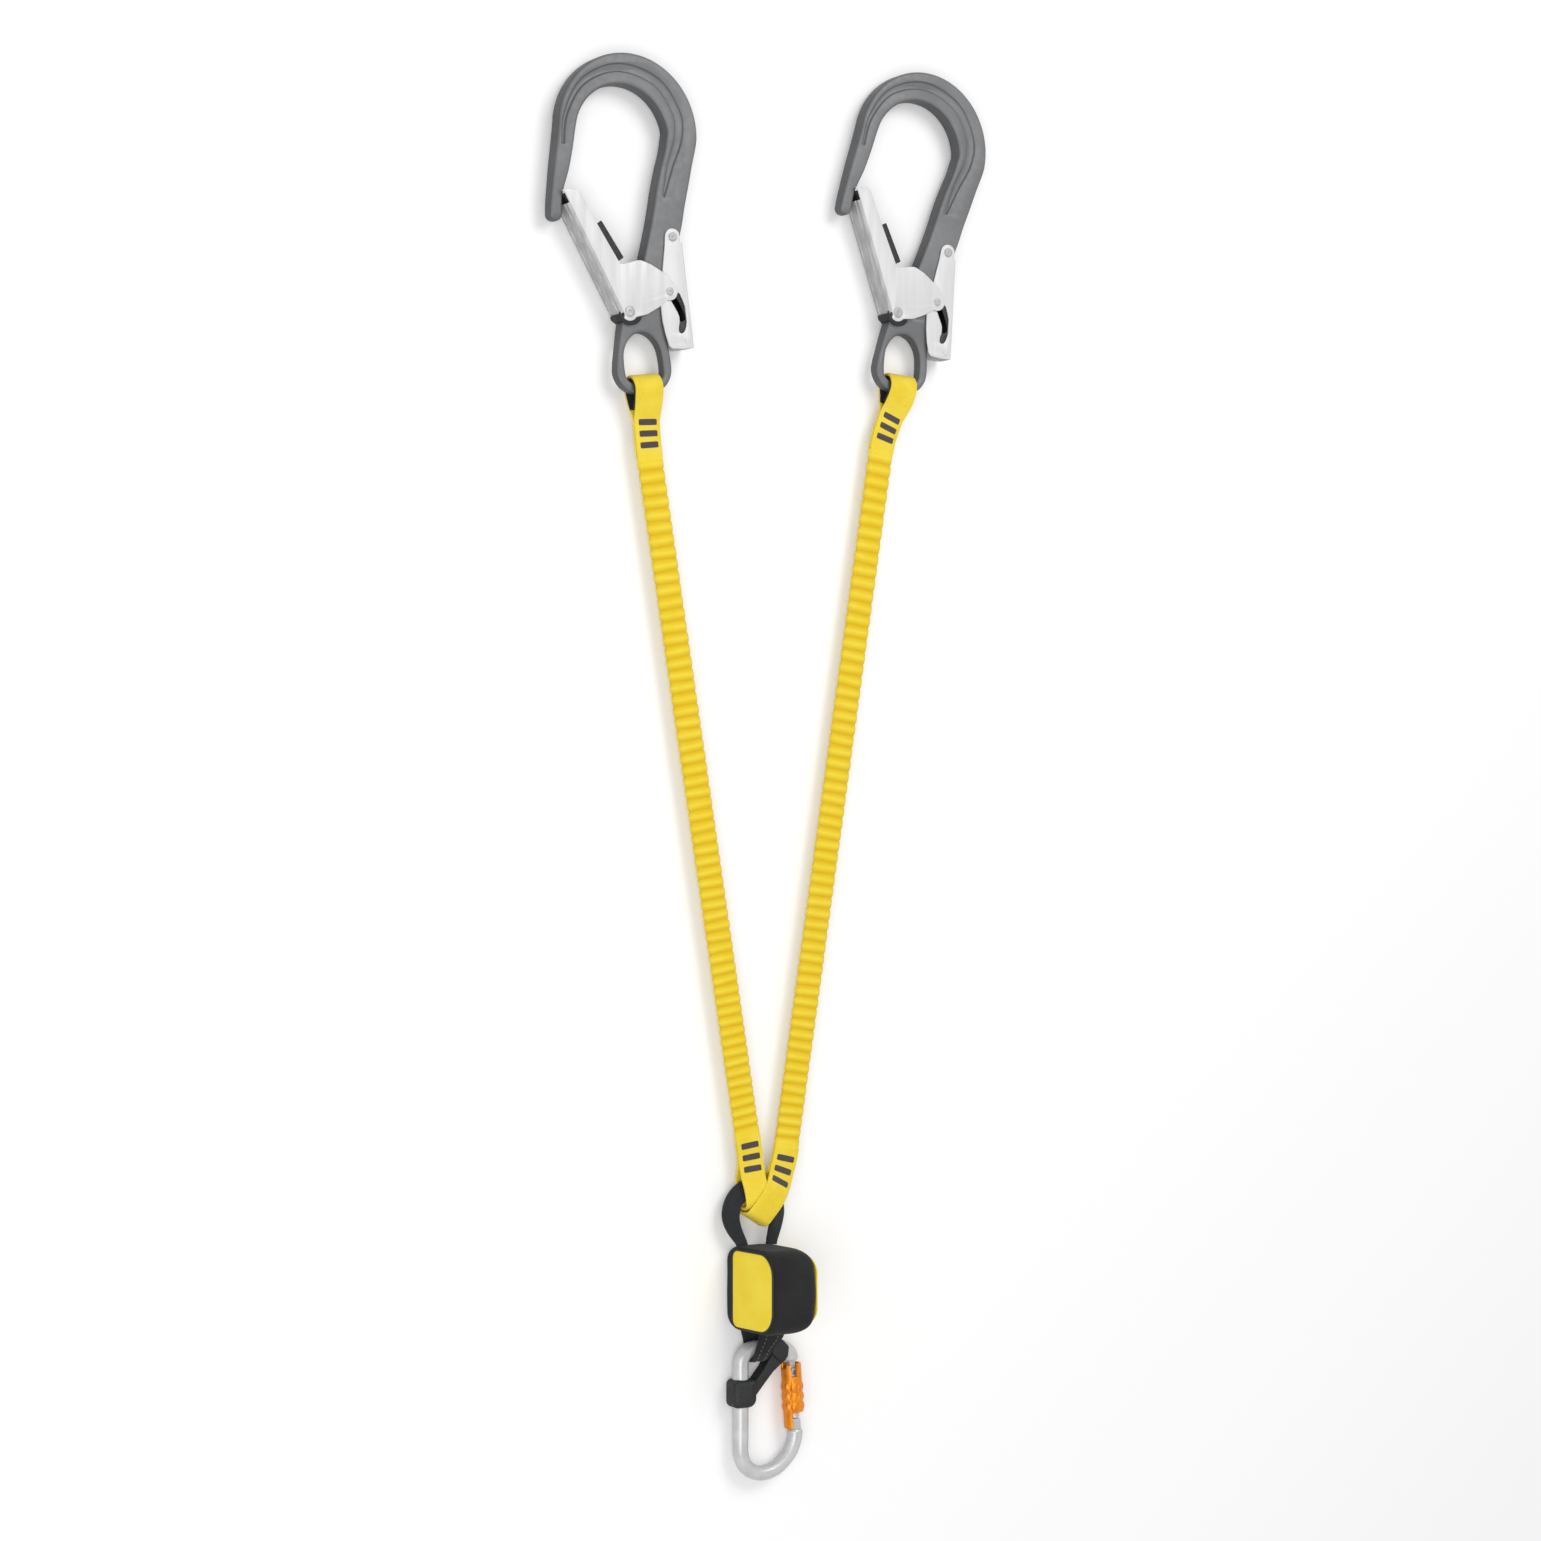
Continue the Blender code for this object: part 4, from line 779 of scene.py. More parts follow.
def strap_stations(plan, profile, width):
    stations = []
    for i, (s, z) in enumerate(profile):
        slope = run_at(profile, i)
        along = plan.heading(s)
        across = Vector((along.y, -along.x, 0))
        normal = Vector((-slope.y * along.x, -slope.y * along.y, slope.x))
        stations.append((Vector((*plan.place(s)[0], z)), across, normal, width(s)))
    return stations


def side_station(x, y, z, slope, half_width):
    """A station of a strap that runs in a plane across the X axis."""
    return Vector((x, y, z)), FLAT_SIDE, Vector((0, -slope.y, slope.x)), half_width


def offset_profile(profile, distance):
    result = []
    for i, (s, z) in enumerate(profile):
        slope = run_at(profile, i)
        result.append((s - slope.y * distance, z + slope.x * distance))
    return result


def bar_stitch(foot, along, across, out):
    """One dense zigzag bar on a strap's face."""
    rings, runs = [], []
    count = BAR_PICKS * 3
    for i in range(count + 1):
        t = i / count
        wave = math.sin(2 * math.pi * BAR_PICKS * t)
        end = math.sqrt(max(1 - abs(2 * t - 1) ** 8, 0.02))
        half = BAR_WIDTH / 2 * (0.96 + 0.04 * wave) * (0.75 + 0.25 * end)
        tall = (0.42 + 0.1 * wave) * end
        centre = foot + across * (t - 0.5) * BAR_LENGTH
        ring = []
        for x, y in arc((0, 0), 1.0, 0, 180, 8):
            ring.append(tuple(centre + along * half * x + out * tall * max(y, 0.0) ** 0.7))
            runs.append((t * BAR_LENGTH, half * x, 0.0))
        for sign in (-1, 1):
            ring.append(tuple(centre + along * half * 0.6 * sign - out * 0.3))
            runs.append((t * BAR_LENGTH, 0.0, 0.0))
        rings.append(ring)
    return loft(rings, run=runs)


def face_height(profile, s, front):
    """The height of a folded strap's outer face at this distance."""
    sign = 1 if front else -1
    found = []
    for (s0, z0), (s1, z1) in zip(profile, profile[1:]):
        if s0 != s1 and min(s0, s1) <= s <= max(s0, s1):
            z = z0 + (z1 - z0) * (s - s0) / (s1 - s0)
            found.append((sign * z, (z1 - z0) / (s1 - s0)))
    height, slope = max(found[::sign], key=lambda pair: pair[0])
    return sign * (height + (STRAP / 2 + 0.02) * math.hypot(1, slope))


def stitch_set(plan, profile, spots):
    """Bars across both outer faces of a folded strap."""
    shapes = []
    for s in spots:
        run = plan.heading(s)
        across = Vector((run.y, -run.x, 0))
        for front in (True, False):
            near, far = [face_height(profile, s + step, front) for step in (-2.0, 2.0)]
            heights = (face_height(profile, s, front), (near + far) / 2)
            spot = Vector((*plan.place(s)[0], max(heights) if front else min(heights)))
            along = Vector((run.x, run.y, (far - near) / 4.0)).normalized()
            out = across.cross(along)
            shapes.append(bar_stitch(spot, along, across, out if (out.z > 0) == front else -out))
    return joined(shapes)


def build_upper_eye(side, eye, lean, neck, sway):
    """The fold of an arm round its hook's eye; gives the fold's end."""
    meet = 22.0
    near = 1.2
    angle = math.radians(lean)
    down = Vector((math.sin(angle), -math.cos(angle)))
    eye_point = Vector(eye) + Vector((-down.y, down.x)) * EYE_MID
    arm = (Vector(neck) - eye_point).normalized()
    end = eye_point + arm * UPPER_NECK + Vector((-arm.y, arm.x)) * sway
    arm = (Vector(neck) - end).normalized()
    plan = Plan(bezier(eye_point, eye_point + down * 16, end - arm * 18, end, 48))
    tail = plan.at[-1] - 0.04
    front = [(tail, near), (meet + 8, near), (meet, near + 0.15), (meet * 0.55, UPPER_R * 0.62)]
    turn = []
    for a in range(-12, 193, 34):
        turn.append((-UPPER_R * math.sin(math.radians(a)), UPPER_R * math.cos(math.radians(a))))
    profile = smooth(front + turn + [(s, -z) for s, z in front[::-1]], 6)
    profile = [(s, z + AXIS_Z) for s, z in profile]
    stations = strap_stations(plan, profile, lambda s: ease(s, 2, 30, UPPER_HALF, STRAP_HALF))
    body = f"{side}_eye"
    piece(f"{side}_eye_webbing", strap(stations, STRAP), YELLOW, body, f"{side}_upper_eye")
    inner = [p for p in offset_profile(profile, LINER_IN) if p[0] < LINER_END]
    shape = strap(strap_stations(plan, inner, lambda s: LINER_HALF), LINER_THICK)
    piece(f"{side}_wear_liner", shape, LINER_SKIN, body, f"{side}_eye_liner")
    shape = stitch_set(plan, profile, UPPER_BARS)
    piece(f"{side}_upper_stitches", shape, BAR_THREAD, body, slot="yellow_webbing")
    return end


def build_elastic(side, neck, end):
    """Ribbed elastic webbing; the ribs are longer towards the hook."""
    start = Vector((*neck, AXIS_Z))
    finish = Vector((*end, AXIS_Z))
    run = (finish - start).normalized()
    length = (finish - start).length + NECK_OVERLAP
    across = Vector((run.y, -run.x, 0))
    seed = len(side)
    marks = [0.0]
    for i in range(RIBS):
        marks.append(marks[-1] + 0.88 + 0.24 * i / RIBS + 0.05 * (chance(i, seed) - 0.5))
    marks = [m / marks[-1] * length for m in marks]
    rings, runs, grooves, path = [], [], [], []

    def add_ring(centre, s, half_width, half, groove=0.0, lean=0.0, crown=0.0):
        rings.append([])
        for a, b in section(half_width, half, 6):
            up = b * (1 + crown * (1 - (a / half_width) ** 2))
            spot = centre + across * a + run * (lean * a / STRAP_HALF) + Vector((0, 0, up))
            rings[-1].append(tuple(spot))
            runs.append((s, a, b))
            grooves.append(groove)

    for back in (9.97, 9.8, 9.3, 8.4, 7.0, 5.2, 3.2, 1.2):
        wide = math.sqrt(STRAP_HALF ** 2 - back * back)
        add_ring(start - run * back, -back, wide, min(2.1, 0.8 * wide))
    for i in range(RIBS):
        for k in range(RIB_PARTS + (i == RIBS - 1)):
            t = k / RIB_PARTS
            s = marks[i] + (marks[i + 1] - marks[i]) * t
            from_end = min(s, length - s)
            share = ease(from_end, 0.0, NECK_FADE, 1.0, 0.0)
            crest = abs(math.sin(math.pi * t))
            swell = crest ** 0.75 * (0.9 + 0.2 * chance(i, 3.1, seed))
            wide = RIB_HALF_WIDTH + RIB_SPREAD * swell
            half = RIB_HALF_THICK + RIB_RISE * swell
            wide += (STRAP_HALF - wide) * share
            half += (NECK_HALF_THICK - half) * share
            lean = 0.9 * (chance(i, 7.7, seed) - 0.5) * min(from_end / 10, 1)
            path.append(start + run * (s - NECK_OVERLAP / 2))
            add_ring(path[-1], s, wide, half, (1 - crest) ** 0.55 * (1 - share), lean, 0.06)
    shape = loft(rings, run=runs, groove=grooves)
    body = f"{side}_arm"
    node = f"{side}_elastic_webbing"
    made = piece(f"{side}_ribbed_arm", shape, RIBBED, body, node, ride=False, slot="yellow_webbing")
    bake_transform(made)


left_end = build_upper_eye("left", LEFT_EYE, LEFT_LEAN, LEFT_NECK, LEFT_SWAY)
right_end = build_upper_eye("right", RIGHT_EYE, RIGHT_LEAN, RIGHT_NECK, RIGHT_SWAY)
build_elastic("left", LEFT_NECK, left_end)
build_elastic("right", RIGHT_NECK, right_end)


# Hooks.
def hook_warp(point):
    """Thins the forging towards its eye and its nose."""
    x, y, z = point
    half = ease(y, 70.0, 22.0, HOOK_HALF, EYE_HALF)
    if x < -20.0 and y > 80.0:
        half = ease(y, 172.0, 126.0, HOOK_HALF, NOSE_HALF)
        end = min(max((y - NOSE[1] + NOSE_R) / 8.0, 0.0), 1.0)
        half *= 0.55 + 0.45 * math.sqrt(1 - (1 - end) ** 2)
    return (x, y, z * half / HOOK_HALF)


def wall_place(degrees, share):
    """A point between the mouth's arc and the head's arc, and the wall's thickness there."""
    x = math.cos(math.radians(degrees))
    y = math.sin(math.radians(degrees))
    dx = HEAD[0] - MOUTH[0]
    dy = HEAD[1] - MOUTH[1]
    half = dx * x + dy * y
    inner = math.sqrt(half * half - dx * dx - dy * dy + MOUTH_R * MOUTH_R) - half
    wall = HEAD_R - inner
    reach = inner + share * wall
    return HEAD[0] + reach * x, HEAD[1] + reach * y, wall


def hook_edge(point):
    """How far an edge of the forging is rounded."""
    wide = ease(point[1], 40.0, 22.0, 2.0, 2.6)
    near = min(math.dist(point, spot) for spot in (PIVOT, LEVER_PIVOT))
    return ease(near, BOSS_R + 0.2, BOSS_R + 7.0, 0.5, wide)


def hook_frame_shape():
    outline = arc(HEAD, HEAD_R, -9, 172, 22)
    outline += [(-47.6, 172.0), (-52.2, 154.0)]
    outline += arc(NOSE, NOSE_R, 170, 362, 6)
    outline += [(-49.0, 128.0), (-46.5, 139.0), (-40.5, 153.0), (-35.5, 168.0)]
    outline += arc(MOUTH, MOUTH_R, 165, 3, 14)
    outline += [(38.6, 172.0), (36.3, 164.0), (31.0, 151.0), (26.0, 137.0), (21.5, 122.0)]
    outline += [(16.0, 106.0), (11.5, 94.0), (5.0, 78.0), (-2.0, 65.0)]
    outline += arc(PIVOT, BOSS_R, 62, 232, 6)
    outline += [(-12.8, 45.0), (-17.0, 31.0)]
    for side, start in ((-1, 180), (1, 270)):
        corner = (EYE_MID + side * (EYE_OUT - EYE_OUT_R), 13.0)
        outline += arc(corner, EYE_OUT_R, start, start + 90, 5)
    outline += [(22.3, 28.0), (21.0, 42.0), (21.5, 50.0), (22.0, 60.0), (24.0, 71.0)]
    outline += [(33.5, 90.0), (38.5, 100.0), (43.5, 111.0), (46.8, 122.0), (52.0, 137.0)]
    outline += [(57.0, 152.0), (61.4, 164.0)]
    hole = arc((EYE_MID + EYE_IN - EYE_IN_R, 10.5), EYE_IN_R, 270, 360, 3)
    hole += arc((EYE_MID, 20.0), EYE_IN, 0, 180, 9, 18.5)
    hole += arc((EYE_MID - EYE_IN + EYE_IN_R, 10.5), EYE_IN_R, 180, 270, 3)
    path = [(-43.0, 171.0, 2.6)]
    for degrees, share, wide in (
        (163.8, 0.67, 0.25), (131.2, 0.6, 0.29), (93.2, 0.53, 0.3),
        (52.3, 0.5, 0.3), (16.2, 0.45, 0.3), (-9.7, 0.345, 0.3),
    ):
        x, y, wall = wall_place(degrees, share)
        path.append((x, y, wide * wall))
    path = smooth(path + [(38.6, 152.0, 5.6), (31.0, 131.0, 2.0)], 8)
    pocket = (band([p[:2] for p in path], [p[2] + 0.6 for p in path]), 1.4, 1.5)
    holes = [fair(hole, 3), bore(PIVOT, PIVOT_SHANK + GAP), bore(LEVER_PIVOT, AXLE_SHANK + GAP)]
    outline = fair(outline, 3)
    return plate(outline, -HOOK_HALF, HOOK_HALF, holes, hook_edge, 6, pocket, hook_warp)


def gate_line(across, along):
    """The plan point this far along the closed gate and out from its middle."""
    return tuple(Vector(PIVOT) + GATE_RUN * along + GATE_OUT * across)


def channel(place, outer, reach, thick, radius, leg, start, end, grooves=()):
    """A folded U of sheet metal; place gives the plan point from across and along."""
    high = (outer - radius, reach - radius)
    low = (outer - radius, radius - reach)
    inner = radius - thick
    loop = [(outer - leg, reach)] + arc(high, radius, 90, 0, 6)
    for z in grooves:
        loop += [(outer, z + 1.0), (outer - 0.8, z + 0.5), (outer - 0.8, z - 0.5), (outer, z - 1.0)]
    loop += arc(low, radius, 0, -90, 6) + [(outer - leg, -reach), (outer - leg, thick - reach)]
    loop += arc(low, inner, -90, 0, 6) + arc(high, inner, 0, 90, 6) + [(outer - leg, reach - thick)]
    rings = []
    for i in range(25):
        s = start + (end - start) * i / 24
        rings.append([(*place(a, s), z) for a, z in loop])
    return loft(rings)


def gate_shape():
    outline = [gate_line(4.3, 93.5), (-50.0, 139.6), (-38.6, 140.4), (-36.0, 137.5)]
    outline += [(-26.0, 116.0), (-10.9, 86.2), (-4.0, 86.9), (4.4, 88.6), (13.0, 84.8)]
    outline += [(21.6, 79.0), (26.5, 74.5)]
    outline += arc(FOLLOWER, 6.2, 50, -110, 10)
    outline += [(16.2, 54.9), (6.0, 50.4)]
    outline += arc(PIVOT, 6.3, -40, -140, 10)
    outline += [gate_line(4.3, 0.0)]

    def corner(point):
        if point[0] > -9.0:
            return 9.0
        return 1.6 if point[1] > 100 else 2.5

    holes = [bore(PIVOT, PIVOT_SHANK + 0.1), bore(FOLLOWER, FOLLOWER_SHANK + 0.1)]
    return joined(both_faces(filleted(outline, corner, 5), GATE_LOW, GATE_HIGH, holes=holes))


def lever_slot():
    """The follower's slot with the crescent below it."""
    crescent = [(25.7, 60.1), (27.6, 56.4), (29.4, 52.8), (30.9, 49.6), (31.6, 46.5), (31.3, 43.0)]
    crescent += [(30.2, 39.2), (30.3, 36.4), (32.0, 35.4), (34.4, 36.6), (36.2, 40.0), (37.4, 45.0)]
    crescent += [(37.7, 50.0), (36.8, 55.0), (35.3, 60.0), (34.0, 63.2), (32.9, 63.9), (31.5, 62.1)]
    crescent += [(30.5, 61.1), (29.6, 62.4), (27.6, 65.8)]
    return fair(crescent + arc(FOLLOWER, 2.25, 45, 195, 5), 4)


def lever_shape():
    outline = arc(LEVER_PIVOT, 6.0, 20, 170, 10)
    outline += [(26.4, 97.0), (22.4, 80.0), (19.6, 66.0), (17.9, 55.0), (18.0, 45.0)]
    outline += [(19.3, 35.0), (21.2, 27.3), (23.4, 25.3), (31.0, 24.6), (38.6, 24.4)]
    outline += [(38.9, 60.0), (38.9, 92.0)]
    outline = filleted(outline, lambda p: 3.0 if p[1] > 90 else 8.0 if p[1] > 30 else 2.0, 5)
    foot = arc(LEVER_PIN, PIN_SHANK + 0.1, 0, 345, 15)
    holes = [bore(LEVER_PIVOT, AXLE_SHANK + 0.1), foot, lever_slot()]
    back = channel(
        lambda a, s: (a, s), outer=LEVER_BACK, reach=LEVER_HIGH - 0.03, thick=1.04, radius=1.9,
        leg=4.0, start=24.8, end=99.0,
    )
    return joined(both_faces(outline, LEVER_LOW, LEVER_HIGH, holes=holes, edge=0.28) + [back])


def bumper_shape():
    strip = filleted([(-24.6, 115.4), (-12.0, 88.9), (-14.9, 88.0), (-27.5, 114.2)], 1.0, 3)
    lip = filleted([(-21.2, 117.4), (-7.0, 90.8), (-13.0, 87.6), (-26.6, 114.2)], 0.8, 3)
    middle = plate(strip, GAP - GATE_LOW, GATE_LOW - GAP, edge=0.8)
    return joined([middle] + both_faces(lip, GATE_LOW - 1.3, GATE_LOW - 0.15, edge=0.4, steps=2))


def pivot_shade_shape():
    """Painted shade: a dark filling round the gate's pivot, standing in for the shaded recess there,
    with the plug between the plates.
    """
    front = [(-15.6, 52.5), (-14.6, 48.0), (-11.0, 44.8), (-5.5, 43.9), (-0.8, 45.4), (1.4, 48.4)]
    front = fair(front + [(-2.5, 55.0), (-9.0, 58.0), (-13.5, 57.0)], 3)
    back = [(x * 0.62 - 3.0, y) for x, y in front]
    plug = [(-16.5, 51.2), (-15.0, 52.2), (-11.0, 53.4), (-11.0, 46.6), (-13.6, 46.8), (-15.8, 48.8)]
    plug = plate(filleted(plug, 0.9, 3), -5.6, 7.4, edge=0.5, steps=2)
    sheets = [plate(front, 6.6, 8.1, edge=0.4, steps=2), plate(back, -8.1, -6.6, edge=0.4, steps=2)]
    return joined(sheets + [plug])


def slot_shade_shape():
    """Painted shade: dark sheets that show through the lever's slot, standing in for the shaded
    inside of the lever.
    """
    shade_sheet = [(39.2, 70.0), (28.2, 70.0), (28.2, 66.6), (30.4, 62.8), (32.4, 58.9), (34.2, 55.0)]
    shade_sheet += [(35.8, 51.0), (37.0, 47.2), (36.6, 44.8), (34.4, 43.5), (32.0, 44.4), (30.6, 47.8)]
    shade_sheet = filleted(shade_sheet + [(28.2, 47.4), (28.2, 33.0), (39.2, 33.0)], 0.6, 2)
    spine = [(38.6, 40.5), (40.0, 40.5), (40.0, 69.5), (38.6, 69.5)]
    sheets = both_faces(shade_sheet, 6.0, 6.7, edge=0.2, steps=2)
    return joined(sheets + [plate(spine, -6.4, 6.4, edge=0.2, steps=2)])


# Painted shade: a dark piece between the nose and the gate that stands in for the shaded inside of
# the gate's channel.
def nose_shade_shape():
    loop = [(-48.6, 137.0), (-44.6, 138.2), (-36.5, 127.0), (-30.0, 113.0), (-33.6, 111.4)]
    return plate(filleted(loop, 0.8, 3), -7.6, 7.6, edge=0.5, steps=2)


def rivet(shank, head, under, top, place, dimple=0.9):
    """A through rivet with low domed heads that are dimpled in the middle."""
    rise = top - under
    half = [(dimple * 0.6, top - 0.33), (dimple, top - 0.1), (dimple * 1.35, top)]
    half += [(head * 0.72, top - 0.05 * rise), (head * 0.9, top - 0.25 * rise)]
    half += [(head, top - 0.6 * rise), (head, under), (shank, under)]
    profile = half + [(r, -z) for r, z in half[::-1]]
    rings = [[(x, y, z) for x, y in bore(place, r, 31)] for r, z in profile]
    points, faces, _ = loft(rings)
    for tip, face in ((top - 0.35, faces.pop(-2)), (0.35 - top, faces.pop())):
        points.append((*place, tip))
        last = len(points) - 1
        faces += [(last, face[i - 1], face[i]) for i in range(len(face))]
    return points, faces


def build_hooks():
    inner = 3.6
    widening = 1.3
    spiral = coil(1.6, 72, lambda t, c, s: (
        PIVOT[0] + (inner + widening * t) * c, PIVOT[1] + (inner + widening * t) * s, 7.35
    ))
    spring = coil(4, 128, lambda t, c, s: (
        COIL_START + (COIL_END - COIL_START) * t, COIL_Y + 3.0 * c, 3.0 * s
    ))
    pivot_pin = rivet(PIVOT_SHANK, 3.8, GATE_HIGH + 0.05, HEAD_TOP, PIVOT)
    follower = rivet(FOLLOWER_SHANK, 2.8, GATE_HIGH + 0.05, HEAD_TOP, FOLLOWER)
    axle = rivet(AXLE_SHANK, 3.2, LEVER_HIGH + 0.05, 9.0, LEVER_PIVOT)
    foot_pin = rivet(PIN_SHANK, 1.9, LEVER_HIGH + 0.05, 8.6, LEVER_PIN, 0.5)
    web = channel(
        gate_line, outer=6.5, reach=GATE_HIGH - 0.03, thick=1.14, radius=2.2,
        leg=4.6, start=1.8, end=86.0, grooves=(5.2, -4.6),
    )
    pieces = (
        ("forging", hook_frame_shape(), FORGED, "hook", "hook_frame", None),
        ("gate_sheet", gate_shape(), PLATE, "gate", "hook_gate", None),
        ("lever_sheet", lever_shape(), PLATE, "lever", "hook_lever", None),
        ("gate_strip", bumper_shape(), RUBBER, "gate", "gate_bumper", None),
        ("gate_pin", pivot_pin, RIVET, "hook", "gate_rivet", None),
        ("lever_axle", axle, RIVET, "hook", "lever_rivet", None),
        ("follower_pin", follower, RIVET, "gate", "follower_rivet", None),
        ("foot_pin", foot_pin, PLATE, "lever", "lever_pin", None),
        ("gate_coil", tube(spiral, 0.42, 8), WIRE, "hook", "gate_spring", None),
        ("lever_coil", tube(spring, 0.45, 8), WIRE, "hook", "lever_spring", None),
        # The next two dark pieces and the one after the web are painted shade.
        ("pivot_recess_shade", pivot_shade_shape(), SHADE_BLACK, "hook", None, "dark_rubber"),
        ("lever_slot_shade", slot_shade_shape(), SHADE_BLACK, "lever", None, "dark_rubber"),
        ("gate_web", web, SHADED_WEB, "gate", None, "light_plate"),
        ("gate_nose_shade", nose_shade_shape(), SHADE_BLACK, "gate", None, "dark_rubber"),
    )
    for side, eye, lean in (("left", LEFT_EYE, LEFT_LEAN), ("right", RIGHT_EYE, RIGHT_LEAN)):
        at = LAYOUT @ Matrix.Translation((*eye, AXIS_Z))
        at = at @ Matrix.Rotation(math.radians(lean), 4, "Z")
        for name, shape, look, body, node, slot in pieces:
            blended = name == "lever_coil"
            node = node and f"{side}_{node}"
            made = piece(
                f"{side}_{name}", shape, look, f"{side}_{body}", node, at,
                slot=slot, ride=not blended,
            )
            if blended:
                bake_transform(made)


build_hooks()


# Ring and lower eyes.
def ring_shape():
    left_foot, right_foot = (ROOTS[0], FLEX_Y), (ROOTS[1], FLEX_Y)
    left_side, right_side = (RING[0] - RING_R, RING[1]), (RING[0] + RING_R, RING[1])
    left_low, right_low = (left_side[0], RING[1] - 9.0), (right_side[0], RING[1] - 9.0)
    path = bezier(
        left_foot, (ROOTS[0] - 0.4, FLEX_Y + 5.0),
        rotated(left_low, 12, RING), rotated(left_side, 8, RING), 16,
    )[:-1]
    path += arc(RING, RING_R, 188, -8, 60)
    path += bezier(
        rotated(right_side, -8, RING), rotated(right_low, -12, RING),
        (ROOTS[1] + 0.4, FLEX_Y + 5.0), right_foot, 16,
    )[1:]
    stations = []
    for i, point in enumerate(path):
        along = run_at(path, i)
        out = Vector((-along.y, along.x))
        from_root = min(i, len(path) - 1 - i)
        tilt = math.radians(ease(from_root, 2, 18, 0.0, RING_TILT))
        width = ease(from_root, 2, 20, 9.0, RING_WIDTH) / 2
        across = Vector((*(out * math.cos(tilt)), -math.sin(tilt)))
        normal = Vector((*(out * math.sin(tilt)), math.cos(tilt)))
        stations.append((Vector((*point, AXIS_Z)), across, normal, width))
    return strap(stations, RING_STRAP)


def build_ring_eye(side, plan, profile, narrow, bars):
    """The fold of an arm round the ring; narrow is where and how much it draws in."""
    profile = smooth(profile, 6)
    start, end, half = narrow
    stations = strap_stations(plan, profile, lambda s: ease(s, start, end, half, STRAP_HALF))
    piece(f"{side}_ring_eye", strap(stations, STRAP), YELLOW, "ring", f"{side}_lower_eye")
    shape = stitch_set(plan, profile, [plan.at[-1] - back for back in bars])
    piece(f"{side}_lower_stitches", shape, BAR_THREAD, "ring", slot="yellow_webbing")


def build_ring():
    piece("ring_webbing", ring_shape(), BLACK_WEB, "ring", "webbing_ring")
    run = Vector((-0.158, 0.9874))
    fold = Vector(RING) + run * 5.0 + Vector((0.9874, 0.158))
    neck = Vector(LEFT_NECK)
    plan = Plan(bezier(fold, fold + run * 14, neck - run * 26, neck, 48))
    reach = plan.at[-1] - 0.04
    profile = [(reach, 11.4), (43, 11.4), (31, 11.5), (22, 12.7), (15, 15.0), (7, 16.2)]
    profile += [(2.2, 15.2), (0.2, 12.6), (0, 10.2), (0.2, 7.6), (2, 5.1), (7, 4.2)]
    profile += [(20, 4.25), (26, 6.6), (31, 8.8), (43, 9.0), (reach, 9.0)]
    build_ring_eye("left", plan, profile, (4, 26, 9.3), (6.4, 14.8, 23.2))

    start_run = Vector((0.5, 0.866))
    end_run = Vector((0.169, 0.9856))
    fold = Vector(RING) + Vector((-1.1, -3.9))
    neck = Vector(RIGHT_NECK)
    plan = Plan(bezier(fold, fold + start_run * 15, neck - end_run * 33, neck, 56))
    last = plan.at[-1]
    reach = last - 0.04
    profile = [(reach, 11.4), (last - 14, 11.5), (last - 19, 12.0), (last - 26, 14.1)]
    profile += [(last - 31, 15.8), (last - 38, 17.6), (14, 18.4), (5, 18.2), (1.3, 16.8)]
    profile += [(0.1, 13.6), (0.1, 6.6), (1.3, 3.0), (5, 1.7), (last - 30, 1.7)]
    profile += [(last - 25.5, 4.2), (last - 21, 8.2), (last - 14, 9.0), (reach, 9.0)]
    build_ring_eye("right", plan, profile, (10, 34, 9.6), (8.0, 16.6, 25.0))


build_ring()


# Pouch.
def pouch_inset(y):
    """How far the pouch draws in towards its ends."""
    near = min(y - POUCH_Y0, POUCH_Y1 - y) / POUCH_END
    if near >= 1:
        return 0.0
    return POUCH_END * (1 - math.sqrt(1 - (1 - max(near, 0.0)) ** 2))


def pouch_crown(y):
    """How full the pouch is, from nothing at its ends to one at its middle."""
    share = min(max((y - POUCH_Y0) / (POUCH_Y1 - POUCH_Y0), 0.0), 1.0)
    return math.sin(math.pi * share) ** 0.6


def build_fabric():
    """The black walls, fuller in the middle and with a few soft dents."""
    stations = [POUCH_END * (1 - math.cos(math.radians(7.5 * k))) for k in range(13)]
    span = POUCH_Y1 - POUCH_Y0
    flat = [POUCH_END + (span - 2 * POUCH_END) * k / 14 for k in range(1, 14)]
    stations += flat + [span - y for y in stations[::-1]]
    middle = Vector((-19.0, POUCH_HEIGHT / 2))
    rings = []
    for y in [POUCH_Y0 + station for station in stations]:
        inset = pouch_inset(y)
        crown = pouch_crown(y)
        left = POUCH_X0 + 0.12 * inset - 0.3 * crown
        right = POUCH_X1 - 0.5 * inset + 0.3 * crown - POUCH_LEAN * (1 - crown)
        corners = [r + 0.25 * inset for r in POUCH_CORNERS]
        loop = rounded(left, right, inset, POUCH_HEIGHT - inset + 0.3 * crown, corners, 7)
        rings.append([])
        for x, z in loop:
            dent = 0.5 + 0.5 * math.sin(0.21 * y + 0.16 * z + 0.3 * x)
            spot = middle + (Vector((x, z)) - middle) * (1 - 0.006 * dent)
            height = max(spot.y, 0.05)
            rings[-1].append((spot.x + POUCH_SHIFT * height / POUCH_HEIGHT, y, height))
    made = piece("pouch_fabric", loft(rings), POUCH, "absorber", "pouch_shell", sharp=55.0)


